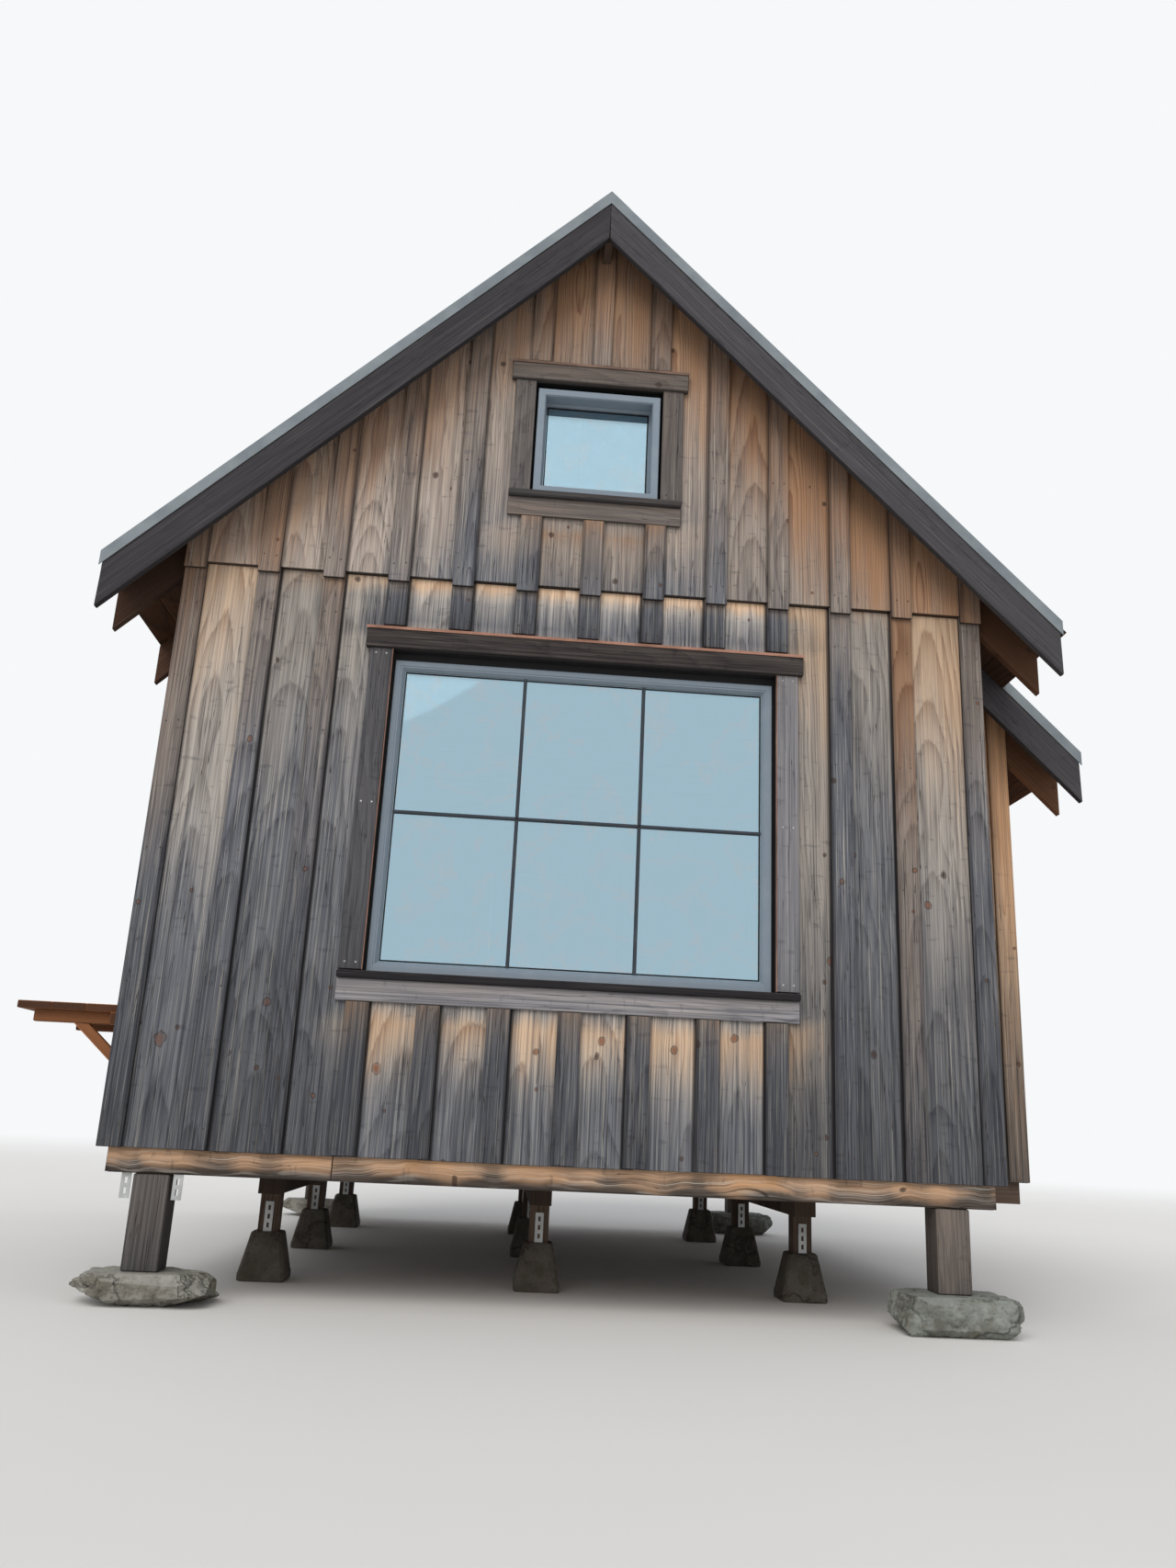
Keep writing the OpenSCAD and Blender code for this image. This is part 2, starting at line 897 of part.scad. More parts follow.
module right_rafters() {
    color(c_honey) for (i = [0 : rafter_bays]) {
        if (i == 0 || i == rafter_bays) rafter(rafter_ys[i], eave_x, [core_x]);
        else rafter(rafter_ys[i], bay_eave_x, [core_x, bay_core_x]);
    }
}

module ridge_board() {
    reach = half_d + gable_out - barge_t;
    color(c_honey) translate([-lumber_t / 2, -reach, apex]) {
        cube([lumber_t, 2 * reach, deck_low(lumber_t / 2) - apex]);
    }
}

// Boards that close the gaps between rafters over a side wall's siding
module blocking_row(x_in, x_out, ys) {
    low = under(x_out);
    for (i = [0 : len(ys) - 2]) {
        upright(ys[i] + lumber_t / 2, ys[i + 1] - ys[i] - lumber_t) polygon([
            [x_in, low], [x_out, low], [x_out, deck_low(x_out)], [x_in, deck_low(x_in)]
        ]);
    }
}

module eave_blocking() {
    inner = [for (i = [1 : rafter_bays - 1]) rafter_ys[i]];
    color(c_honey) {
        mirror([1, 0, 0]) blocking_row(core_x, half_w, rafter_ys);
        blocking_row(core_x, half_w, [rafter_ys[0], rafter_ys[1]]);
        blocking_row(core_x, half_w, [rafter_ys[rafter_bays - 1], rafter_ys[rafter_bays]]);
        blocking_row(bay_core_x, bay_x, inner);
    }
}

// Roof skin

// One strip of the roof, square-edged in Y, between two lines above the rafters
module slope_strip(x0, x1, low, high) {
    polygon([
        [x0, deck_low(x0) + low], [x0, deck_low(x0) + high],
        [x1, deck_low(x1) + high], [x1, deck_low(x1) + low]
    ]);
}

roof_half_d = half_d + gable_out;
bay_roof_half_d = bay_half_d + gable_out;

module left_roof_deck() {
    color(c_honey) mirror([1, 0, 0]) upright(-roof_half_d, 2 * roof_half_d) slope_strip(0, eave_x, 0, deck_v);
}

module right_roof_deck() {
    color(c_honey) {
        upright(-roof_half_d, 2 * roof_half_d) slope_strip(0, eave_x, 0, deck_v);
        upright(-bay_roof_half_d, 2 * bay_roof_half_d) slope_strip(eave_x - eps, bay_eave_x, 0, deck_v);
    }
}

// One rib, with its edge at y, down to the sheet's lower edge
module rib(y, end_x) {
    upright(y, rib_w) slope_strip(0, end_x + sheet_out, deck_v + sheet_v, deck_v + sheet_v + rib_v);
}

// Ribs run down the slope. The outermost ones lie along the gable edges, clear of the rest
module ribs(half, end_x) {
    n = floor((half - 2 * rib_w) / rib_pitch);
    for (k = [-n : n]) rib(k * rib_pitch - rib_w / 2, end_x);
    both_ends() rib(-half, end_x);
}

module main_metal() {
    upright(-roof_half_d, 2 * roof_half_d) slope_strip(0, eave_x + sheet_out, deck_v, deck_v + sheet_v);
    ribs(roof_half_d, eave_x);
}

module left_roof_metal() {
    color(c_metal) mirror([1, 0, 0]) main_metal();
}

module right_roof_metal() {
    color(c_metal) {
        main_metal();
        upright(-bay_roof_half_d, 2 * bay_roof_half_d) {
            slope_strip(eave_x, bay_eave_x + sheet_out, deck_v, deck_v + sheet_v);
        }
        intersection() {
            ribs(bay_roof_half_d, bay_eave_x);
            translate([eave_x, -roof_half_d, 0]) cube([bay_eave_x, 2 * roof_half_d, 2 * apex]);
        }
    }
}

roof_skin_v = deck_v + sheet_v + rib_v;

module ridge_cap() {
    reach = cap_w * cos(pitch);
    color(c_metal) both_sides() upright(-roof_half_d, 2 * roof_half_d) {
        slope_strip(0, reach, roof_skin_v + sheet_v, roof_skin_v + 2 * sheet_v);
    }
}

// Bent metal that covers the cut edges of the roof at the gables
module edge_profile(x0, x1) {
    upright(-sheet_t, sheet_t) slope_strip(x0, x1, 0, roof_skin_v + sheet_v);
    upright(-sheet_t, edge_w) slope_strip(x0, x1, roof_skin_v, roof_skin_v + sheet_v);
}

module gable_edges() {
    color(c_metal) both_ends() {
        both_sides() translate([0, -roof_half_d, 0]) edge_profile(0, eave_x + sheet_out);
        translate([0, -bay_roof_half_d, 0]) edge_profile(eave_x + sheet_out, bay_eave_x + sheet_out);
    }
}

// Barge boards, cut plumb at the ridge and at the eaves
module barge_boards() {
    color(c_dark) both_ends() both_sides() upright(-roof_half_d, barge_t) polygon([
        [0, under(0)], [eave_x, under(eave_x)], [eave_x, deck_low(eave_x)], [0, deck_low(0)]
    ]);
}

module bay_barge_boards() {
    x0 = half_w;
    color(c_dark) both_ends() upright(-bay_roof_half_d, barge_t) polygon([
        [x0, under(x0)], [bay_eave_x, under(bay_eave_x)],
        [bay_eave_x, deck_low(bay_eave_x)], [x0, deck_low(x0)]
    ]);
}

// Shelf on the left wall, with two braced brackets
module side_shelf() {
    top = foot + shelf_z;
    low = top - shelf_t;
    rail_low = low - rail_h;
    color([0.72, 0.38, 0.16]) translate([-half_w, -half_d + shelf_inset, 0]) {
        translate([-shelf_out, 0, low]) cube([shelf_out, shelf_len, shelf_t]);
        for (y = [rail_t, shelf_len - 2 * rail_t]) translate([0, y, 0]) {
            translate([-shelf_out + rail_back, 0, rail_low]) cube([shelf_out - rail_back, rail_t, rail_h]);
            upright(0, rail_t) polygon([
                [0, rail_low - brace_drop], [0, rail_low - brace_drop + brace_w],
                [-brace_run + brace_w, rail_low], [-brace_run, rail_low]
            ]);
        }
        translate([-rail_t, 0, rail_low]) cube([rail_t, shelf_len, rail_h]);
    }
}

place() corner_stones();
place() corner_posts();
place() post_straps();
place() pier_blocks();
place() pier_posts();
place() girders();
place() front_rim();
place() floor_frame();
place() floor_deck();
place() front_wall();
place() rear_wall();
place() left_wall();
place() right_wall();
place() bay_side_wall();
place() bay_end_walls();
place() front_siding();
place() front_gable_siding();
place() rear_siding();
place() rear_gable_siding();
place() left_siding();
place() right_siding();
place() bay_siding();
place() large_window_frames();
place() large_window_glass();
place() large_window_trim();
place() large_window_heads();
place() small_window_frames();
place() small_window_glass();
place() small_window_trim();
place() rear_door();
place() rear_door_trim();
place() loft_joists();
place() loft_deck();
place() ridge_board();
place() left_rafters();
place() right_rafters();
place() eave_blocking();
place() left_roof_deck();
place() right_roof_deck();
place() left_roof_metal();
place() right_roof_metal();
place() ridge_cap();
place() gable_edges();
place() barge_boards();
place() bay_barge_boards();
place() side_shelf();
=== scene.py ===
"""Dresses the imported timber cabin: separate weathered boards, window frames, ribbed roofing and stones."""
import math
import random

import bpy
from mathutils import Matrix, Vector, noise


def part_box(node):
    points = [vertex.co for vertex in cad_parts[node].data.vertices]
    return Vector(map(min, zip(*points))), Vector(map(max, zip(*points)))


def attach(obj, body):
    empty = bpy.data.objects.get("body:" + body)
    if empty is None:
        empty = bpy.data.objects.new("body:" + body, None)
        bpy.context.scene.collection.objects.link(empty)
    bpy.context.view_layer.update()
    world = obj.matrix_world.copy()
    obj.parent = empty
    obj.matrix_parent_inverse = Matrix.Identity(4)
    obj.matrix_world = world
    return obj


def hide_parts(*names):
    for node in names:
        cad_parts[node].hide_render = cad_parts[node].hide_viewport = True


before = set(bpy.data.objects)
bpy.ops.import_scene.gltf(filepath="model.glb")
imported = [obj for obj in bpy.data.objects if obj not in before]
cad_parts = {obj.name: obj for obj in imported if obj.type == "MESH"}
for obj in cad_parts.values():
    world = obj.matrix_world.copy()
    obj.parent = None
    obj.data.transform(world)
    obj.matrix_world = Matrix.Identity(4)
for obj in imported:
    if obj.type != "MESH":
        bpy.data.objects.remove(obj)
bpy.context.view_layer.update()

X, Y, Z = Vector((1, 0, 0)), Vector((0, 1, 0)), Vector((0, 0, 1))

# Sizes taken from the frame, in metres. X is measured from the gable's centre line.
front_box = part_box("front_siding")
gable_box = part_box("front_gable_siding")
bay_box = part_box("bay_siding")
barge_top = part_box("barge_boards")[1]
bay_barge_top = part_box("bay_barge_boards")[1]
left_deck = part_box("left_roof_deck")
CENTRE = (front_box[0].x + front_box[1].x) / 2
HALF_W = (front_box[1].x - front_box[0].x) / 2
FRONT = front_box[0].y
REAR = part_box("rear_siding")[1].y
FOOT = front_box[0].z
COURSE = front_box[1].z
SKIN = front_box[1].y - front_box[0].y
BOARD = SKIN / 2
COURSE_STEP = FRONT - gable_box[0].y
COURSE_DROP = COURSE - gable_box[0].z
SIDE_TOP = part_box("left_siding")[1].z
CORE_X = HALF_W - SKIN
CORE_Y = REAR - SKIN
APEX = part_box("front_wall")[1].z
RAFTER_V = barge_top.z - APEX
EAVE_X = left_deck[1].x - left_deck[0].x
SLOPE = (APEX - SIDE_TOP) / HALF_W
COS = 1 / math.hypot(1, SLOPE)
SIN = SLOPE * COS
ROOF_Y = barge_top.y
BAY_X = bay_box[1].x - CENTRE
BAY_HALF = bay_box[1].y
BAY_TOP = APEX - BAY_X * SLOPE
BAY_EAVE_X = bay_barge_top.x - CENTRE
BAY_ROOF_Y = bay_barge_top.y
RIM_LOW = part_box("front_rim")[0].z
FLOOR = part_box("floor_deck")[1].z

# Supports. The stones are of two kinds, one to the left (-1) and one to the right (1).
posts_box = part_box("corner_posts")
POST = 0.140
POST_X = (posts_box[1].x - posts_box[0].x - POST) / 2
POST_Y = posts_box[1].y - POST / 2
STONE_TOPS = {-1: posts_box[0].z, 1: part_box("corner_stones")[1].z}
STONE_HALF = {-1: 0.28, 1: 0.26}
STONE_HALF_W = 0.17
RIGHT_STONE_OUT = 0.020
PIER_POST = 0.089
PIER_FOOT, PIER_CROWN = 0.210, 0.135
STRAP_W, STRAP_T, STRAP_H, STRAP_GAP, STRAP_LOW = 0.038, 0.004, 0.175, 0.012, 0.096
PIER_STRAP_H = 0.130

# What a board stays short of its neighbour by on each side, and what a piece stays inside its CAD node by
SEAM, CLEAR = 0.001, 0.0005

# Siding pattern, and the length of the pieces that a board's surface is divided into
PITCH = 0.291
BATTEN_W = 0.097
BOARD_GAP = 0.0015
LEAST_BATTEN = 0.03
SIDING_STEP = 0.14

# Window sizes and places: half width, foot and height of each frame
big_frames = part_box("large_window_frames")
small_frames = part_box("small_window_frames")
BIG = (big_frames[1].x - CENTRE, big_frames[0].z, big_frames[1].z - big_frames[0].z)
LEFT_BIG = (big_frames[1].y, BIG[1], BIG[2])
SMALL_HALF, SMALL_H = 0.295, 0.560
GABLE_SMALL = (SMALL_HALF, small_frames[1].z - SMALL_H, SMALL_H)
BAY_SMALL = (SMALL_HALF, small_frames[0].z, SMALL_H)
JAMB_GAP, HEAD_GAP = 0.013, 0.036
CASING, HEAD_H, HEAD_OUT, HEAD_STEP = 0.098, 0.095, 0.021, 0.015
SILL_H, SILL_STEP, APRON_H, FLASHING_H = 0.036, 0.024, 0.092, 0.018
FRAME_BACK, FRAME_D, GLASS_T = 0.048, 0.068, 0.018


def at(x, y, z):
    """A place given from the gable's centre line."""
    return Vector((CENTRE + x, y, z))


def roof_low(x):
    """Height of the roof boards' lower face."""
    return APEX + RAFTER_V - abs(x) * SLOPE


def rafter_low(x):
    """Height of the rafters' lower face over the walls."""
    return roof_low(x) - RAFTER_V


def flat(z):
    """A level line, for a wall's top."""
    return lambda x: z


def clamp(v, lo=0.0, hi=1.0):
    return max(lo, min(hi, v))


def three(low, high, size):
    """The middles of three equal things that fill a range, two at its ends and one between."""
    return low + size / 2, (low + high) / 2, high - size / 2


# Camera, at the photograph's place

PHOTO_H = 1707
FOCAL_PX = 1282.0
SENSOR = 36.0
CAMERA_OFFSET = Vector((-0.2682, -4.9446, 0.1581))
YAW, TILT, ROLL = -0.0604753, -0.2833964, 0.0470617


def make_camera():
    ahead = Matrix(((1, 0, 0), (0, 0, -1), (0, 1, 0)))
    turned = Matrix.Rotation(TILT, 3, "X") @ ahead @ Matrix.Rotation(-YAW, 3, "Z")
    rows = Matrix.Rotation(ROLL, 3, "Z") @ turned
    axes = Matrix((rows[0], -rows[1], -rows[2])).transposed()
    data = bpy.data.cameras.new("Camera")
    data.sensor_width = SENSOR
    data.lens = FOCAL_PX * SENSOR / PHOTO_H
    data.clip_start, data.clip_end = 0.05, 400.0
    camera = bpy.data.objects.new("Camera", data)
    camera.matrix_world = Matrix.Translation(at(0, FRONT, FOOT) + CAMERA_OFFSET) @ axes.to_4x4()
    bpy.context.scene.collection.objects.link(camera)
    bpy.context.scene.camera = camera


# Materials

def maths(op):
    """A method that adds one math node."""
    return lambda self, other=0.0: self.graph.math(op, self, other)


class Value:
    """What a shader node puts out. Sums with it add math nodes."""

    __add__ = __radd__ = maths("ADD")
    __mul__ = __rmul__ = maths("MULTIPLY")
    __sub__ = maths("SUBTRACT")
    __truediv__ = maths("DIVIDE")
    __pow__ = maths("POWER")
    __abs__ = maths("ABSOLUTE")
    floor = maths("FLOOR")
    fract = maths("FRACT")
    larger = maths("MAXIMUM")
    above = maths("GREATER_THAN")

    def __init__(self, graph, socket):
        self.graph, self.socket = graph, socket

    def __rsub__(self, other):
        return self.graph.math("SUBTRACT", other, self)

    def also(self, name):
        """Another output of the same node."""
        return Value(self.graph, self.socket.node.outputs[name])

    def clamped(self):
        """Keeps this math node's result from 0 to 1."""
        self.socket.node.use_clamp = True
        return self

    def span(self, low, high):
        """0 below low and 1 above high, or the other way round where low is the larger."""
        return self.graph.node("ShaderNodeMapRange", {0: self, 1: low, 2: high},
                               interpolation_type="SMOOTHSTEP")

    def split(self):
        parts = self.graph.node("ShaderNodeSeparateXYZ", {0: self})
        return [parts.also(axis) for axis in "XYZ"]


class Graph:
    """Short calls for the nodes of one material, or of the world."""

    def __init__(self, owner):
        owner.use_nodes = True
        self.owner, self.tree = owner, owner.node_tree
        self.shader = self.tree.nodes.get("Principled BSDF")

    def put(self, socket, value):
        source = value.socket if isinstance(value, Value) else value
        if isinstance(source, bpy.types.NodeSocket):
            self.tree.links.new(source, socket)
        else:
            socket.default_value = source

    def node(self, kind, inputs=None, out=0, **settings):
        n = self.tree.nodes.new(kind)
        for key, value in settings.items():
            setattr(n, key, value)
        for key, value in (inputs or {}).items():
            self.put(n.inputs[key], value)
        return Value(self, n.outputs[out])

    def math(self, op, a, b=0.0):
        return self.node("ShaderNodeMath", {0: a, 1: b}, operation=op)

    def vector(self, op, a, b=(0, 0, 0), out=0):
        return self.node("ShaderNodeVectorMath", {0: a, 1: b}, out, operation=op)

    def length(self, x, y):
        return self.vector("LENGTH", self.join(x, y), out=1)

    def join(self, x, y, z=0.0):
        return self.node("ShaderNodeCombineXYZ", {0: x, 1: y, 2: z})

    def noise(self, vector, scale, detail=2.0, rough=0.55):
        return self.node("ShaderNodeTexNoise", {"Vector": vector, "Scale": scale, "Detail": detail,
                                                "Roughness": rough})

    def mix(self, factor, a, b, blend="MIX"):
        return self.node("ShaderNodeMix", {0: factor, 6: a, 7: b}, 2, data_type="RGBA", blend_type=blend,
                         clamp_factor=True)

    def attribute(self, name):
        return self.node("ShaderNodeAttribute", out=1, attribute_name=name)

    def position(self):
        return self.node("ShaderNodeTexCoord", out=3)

    def normal(self):
        return self.node("ShaderNodeNewGeometry", out=1)

    def bump(self, height, strength, distance):
        return self.node("ShaderNodeBump", {"Height": height, "Strength": strength, "Distance": distance})

    def surface(self, shader):
        """Gives the material another shader than its own."""
        self.put(self.tree.nodes["Material Output"].inputs["Surface"], shader)

    def finish(self, colour, roughness, normal=None, **plain):
        self.put(self.shader.inputs["Base Color"], colour)
        self.put(self.shader.inputs["Roughness"], roughness)
        if normal is not None:
            self.put(self.shader.inputs["Normal"], normal)
        for key, value in plain.items():
            self.shader.inputs[key.replace("_", " ")].default_value = value
        return self.owner


def shade(digits):
    """A screen colour of six hex digits, made linear."""
    def linear(c):
        return c / 12.92 if c < 0.04045 else ((c + 0.055) / 1.055) ** 2.4
    red, green, blue = (linear(int(digits[i:i + 2], 16) / 255) for i in (0, 2, 4))
    return (red, green, blue, 1.0)


def shades(text):
    return [shade(digits) for digits in text.split()]


# Cells that hold one knot each, along and across the grain, and the width of a year's ring
KNOT_CELL = (0.62, 0.16)
RING = 0.0068

# How far tones shift the noise, so that no two boards are alike
TONE_SHIFT = (40.0, 40.0, 40.0)


def grain_from_position(g, along, across, out, cells):
    """Grain, tone and joints for a CAD piece, whose timbers all run the same way. cells is how far apart
    they lie across and out."""
    p = g.position()
    length, width, depth = (g.vector("DOT_PRODUCT", p, way, 1) for way in (along, across, out))
    wide, deep = cells
    number = (width / wide).floor()
    local = ((width / wide).fract() - 0.5) * wide
    key = g.join(number, (depth / deep).floor(), 3.0)
    tone = g.node("ShaderNodeTexWhiteNoise", {"Vector": key}, 1)
    grain = g.join(length + number * 7.3, local)
    return grain, tone, abs(local).span(wide / 2 - 0.003, wide / 2 - 0.0005)


class Wood(Graph):
    """The nodes of one sawn timber, with its place in the grain, its tone, its weather and the noise that
    follows its grain."""

    def __init__(self, name, placed):
        super().__init__(bpy.data.materials.new(name))
        self.placed = placed
        if placed:
            grain, tone, self.joint = grain_from_position(self, *placed)
            self.cover, self.damp, self.own = 1.0, 0.0, 0.0
        else:
            grain, tone = self.attribute("grain"), self.attribute("tone")
            self.cover, self.damp, self.own = self.attribute("weather").split()
        self.x, self.y, self.z = grain.split()
        self.t1, self.t2, self.t3 = tone.split()
        self.shift = self.vector("MULTIPLY", tone, TONE_SHIFT)
        self.slow = self.stretched(1.1, 11.0, 3.0, 0.6)
        self.streak = self.stretched(0.45, 96.0, 3.0, 0.62)
        self.fibre = self.stretched(3.5, 290.0)
        self.uneven = self.stretched(22.0, 40.0, 1.0)

    def stretched(self, along, across, detail=2.0, rough=0.55):
        """Noise with so many waves a metre along the grain and across it."""
        place = self.join(self.x * along, self.y * across, self.z * across)
        return self.noise(self.vector("ADD", place, self.shift), 1.0, detail, rough)

    def knot(self, dx, dy, radius, there):
        """Masks for a knot's heart and rim, and how far it pushes the grain aside."""
        away = self.length(dx * 0.85, dy) + (self.uneven - 0.5) * (radius * 1.3)
        eye = self.length(dx * 0.42, dy)
        heart = there * away.span(radius * 1.15, radius * 0.45)
        rim = there * abs(away - radius).span(0.0040, 0.0008)
        return heart, rim, dy * eye.span(radius * 4.5, 0.0) * (there * 0.8)

    def find_knots(self):
        """One knot in some cells, and a dressed board's own main knot."""
        cell_x, cell_y = KNOT_CELL
        cell = self.join(self.x / cell_x, self.y / cell_y, self.t1 * 30.0)
        found = self.node("ShaderNodeTexVoronoi", {"Vector": cell, "Scale": 1.0, "Randomness": 0.85}, 1)
        chance, self.kind, _ = found.split()
        offset = self.vector("SUBTRACT", cell, found.also("Position"))
        dx, dy, _ = self.vector("MULTIPLY", offset, (cell_x, cell_y, 0.0)).split()
        heart, rim, push = self.knot(dx, dy, self.kind * 0.008 + 0.004, chance.above(0.62))
        self.main_heart = 0.0
        if not self.placed:
            kx, ky, kr = self.attribute("knot").split()
            main = self.knot(self.x - kx, self.y - ky, kr, kr.above(0.001))
            self.main_heart = main[0]
            heart, rim, push = heart.larger(main[0]), rim.larger(main[1]), push + main[2]
        return heart, rim, push

    def find_rings(self, push):
        """Rings round a pith that wanders behind the board."""
        bend, drift = self.stretched(1.5, 2.0, 1.0), self.stretched(0.9, 10.0)
        pith = ((self.t2 * 7.0).fract() - 0.5) * 0.20
        lean = self.x * (self.t1 - 0.5) * 0.040 + (bend - 0.5) * 0.03
        deep = self.t2 * 0.07 + 0.010 + (self.z + lean)
        side = self.y + drift * 0.03 - (pith + push)
        radius = self.math("SQRT", side * side + deep * deep)
        year = ((radius + self.streak * 0.0035) / RING).fract()
        return year ** 2.2 * year.span(1.0, 0.93)

    def weathered(self, colours, rings, age, bias, contrast, hair):
        """Its colour, and how far it has turned tan and grey."""
        fresh, late, tan, tan_dark, grey, grey_dark = shades(colours)
        mix, streak, fibre = self.mix, self.streak, self.fibre
        wear = self.cover * age + (self.own + bias) + (self.slow - 0.5) * 0.7 + (streak - 0.5) * 0.5
        tanned = wear.span(-0.05, 0.60)
        greyed = (wear + self.damp * 0.5).span(0.55, 1.30)
        line = (rings * contrast).clamped()
        streaks = streak.span(0.30, 0.72)
        dry = (line * 0.50 + streaks * 0.55).clamped()
        colour = mix(line * 0.75 + streaks * 0.3, mix(self.t1 * 0.3, fresh, late), late)
        colour = mix(tanned, colour, mix(dry, tan, tan_dark))
        colour = mix(greyed, colour, mix(dry, grey, grey_dark))
        smudge = self.stretched(38.0, 13.0, 1.0).span(0.62, 0.76)
        mottle = smudge.larger(self.stretched(3.0, 26.0, 3.0).span(0.54, 0.74))
        colour = mix(mottle * (tanned * 0.34), colour, grey_dark)
        colour = mix(fibre.span(0.50, 0.72) * 0.34, colour, grey_dark)
        colour = mix(fibre.span(0.46, 0.32) * (tanned * hair), colour, shade("c4bcb2"))
        splinter = self.stretched(1.2, 140.0).span(0.62, 0.72) * (tanned * (1.8 * hair))
        colour = mix(splinter.clamped(), colour, shade("beb8aa"))
        tint = (self.t3 * 0.56 + 0.72) * (1.0 - self.damp * 0.42)
        colour = mix(1.0, colour, self.join(tint, tint, tint), "MULTIPLY")
        colour = mix(self.damp * (streak.span(0.48, 0.66) * 0.42), colour, shade("303036"))
        return colour, tanned, greyed

    def knotted(self, colour, heart, rim, greyed):
        """Its colour with the knots on it, of which the common ones are darker than a board's main knot."""
        tint = self.mix(greyed, shade("925e42"), shade("70584e"))
        tint = self.mix(self.uneven * 0.5, tint, shade("543428"))
        common = 1.0 - self.main_heart
        tint = self.mix(common * self.kind.span(0.10, 0.55), tint, shade("423631"))
        colour = self.mix(heart * 0.85, colour, tint)
        return self.mix(rim * (self.streak + 0.10), colour, shade("3a2a24"))

    def checked(self, colour, rings, tanned):
        """Its colour with checks, and the height of its surface."""
        crack = abs(self.stretched(1.7, 90.0, 1.0) - 0.5)
        check = crack.span(0.016, 0.0) * self.slow.span(0.44, 0.55) * tanned
        colour = self.mix(check * 0.8, colour, shade("241f1e"))
        return colour, self.fibre * 0.4 + rings * -0.4 - check * 1.4

    def edged(self, colour, sides):
        """Its colour with painted shade: dark sides, a dark line of painted shade and grime along one edge,
        and dark ends that are end grain and painted shade.
        """
        shown, dirty, end = self.attribute("size").split()
        # Painted shade on the sides, painted shade and grime along one edge, and end grain with painted
        # shade at the sealed ends
        colour = self.mix(self.z.span(-0.0020, -0.0045) * sides, colour, shade("1e1b1c"))
        dark_side = (self.math("SIGN", self.y) * dirty * -1.0).larger(abs(dirty) * 0.16)
        dirt = (abs(self.y) - shown).span(-0.017, -0.005) * dark_side * (self.streak + 0.5)
        colour = self.mix(dirt.clamped(), colour, shade("222022"))
        return self.mix(end * 0.75, colour, shade("281f1b"))


def wood(name, colours, age=1.0, bias=0.0, contrast=1.0, knots=True, sides=0.45, hair=0.30, placed=None):
    """Sawn timber that weathers from its fresh colour through tan to grey, with knots, rings and checks. Its
    colours are fresh wood and its late rings, tan and its streaks, grey and its streaks. age is how much the
    weather does, bias how far it has gone everywhere, sides how dark a board's sides are in painted
    shade, and hair how pale its raised fibres. placed gives the grain of a CAD piece, and a dressed one
    carries its own."""
    g = Wood(name, placed)
    heart, rim, push = g.find_knots()
    rings = g.find_rings(push)
    colour, tanned, greyed = g.weathered(colours, rings, age, bias, contrast, hair)
    if knots:
        colour = g.knotted(colour, heart, rim, greyed)
    colour, height = g.checked(colour, rings, tanned)
    if placed:
        colour = g.mix(g.joint, colour, shade("16100d"))
        height = height - g.joint * 2.0
    else:
        colour = g.edged(colour, sides)
    return g.finish(colour, g.fibre * 0.22 + 0.74, g.bump(height, 0.6, 0.0018), Specular_IOR_Level=0.2)


def metal(name, colours, roughness, metallic=0.4, specks=0.0, rib_shade_and_grime=0.0):
    """Sheet metal with a cloudy bloom and, where asked, dark specks, or painted shade with some grime on the
    sloping sides of its ribs.
    """
    g = Graph(bpy.data.materials.new(name))
    p = g.position()
    colour, dull = shades(colours)
    bloom, grit = g.noise(p, 5.0, 4.0), g.noise(p, 90.0)
    tone = g.mix(bloom.span(0.3, 0.72), colour, dull)
    tone = g.mix(grit.span(0.52, 0.74) * specks, tone, dull)
    if rib_shade_and_grime:
        # Painted shade with some grime where the surface faces sideways, on the ribs' sloping sides
        across = abs(g.normal().split()[1])
        tone = g.mix(across.span(0.2, 0.8) * rib_shade_and_grime, tone, shade("3c4246"))
    return g.finish(tone, bloom * 0.2 + roughness, g.bump(bloom, 0.1, 0.002), Metallic=metallic,
                    Specular_IOR_Level=0.4)


def painted(name, colours, roughness):
    """Paint with a little dust on it."""
    g = Graph(bpy.data.materials.new(name))
    p = g.position()
    colour, dusty = shades(colours)
    dust = g.noise(p, 11.0, 5.0)
    tone = g.mix(dust.span(0.42, 0.8) * 0.5, colour, dusty)
    return g.finish(tone, dust * 0.2 + roughness, g.bump(g.noise(p, 420.0), 0.06, 0.0004),
                    Specular_IOR_Level=0.45)


def rock(name, colours):
    """Broken stone or cast concrete with veins, pits and moss, and paler where it faces up, which is painted
    light.
    """
    g = Graph(bpy.data.materials.new(name))
    p = g.position()
    pale, mid, dark, moss = shades(colours)
    big, fine = g.noise(p, 6.0, 6.0, 0.65), g.noise(p, 60.0, 5.0, 0.7)
    pits = g.node("ShaderNodeTexVoronoi", {"Vector": p, "Scale": 38.0}, feature="F1")
    patch = g.noise(g.vector("ADD", p, (3.0, 1.0, 7.0)), 9.0, 4.0, 0.6)
    vein = abs(g.noise(g.vector("ADD", p, (8.0, 3.0, 1.0)), 2.2, 5.0, 0.65) - 0.5)
    tone = g.mix(big.span(0.32, 0.62), pale, mid)
    tone = g.mix(fine.span(0.5, 0.72) * 0.6, tone, dark)
    tone = g.mix(patch.span(0.52, 0.66) * 0.5, tone, moss)
    # Painted light: faces that look up are paler
    tone = g.mix(g.normal().split()[2].span(0.35, 0.85) * 0.55, tone, pale)
    tone = g.mix(vein.span(0.016, 0.0) * 0.5, tone, dark)
    height = fine * 0.8 + pits * 0.4 - vein.span(0.02, 0.0) * 0.7
    return g.finish(tone, 0.92, g.bump(height, 1.0, 0.010), Specular_IOR_Level=0.2)


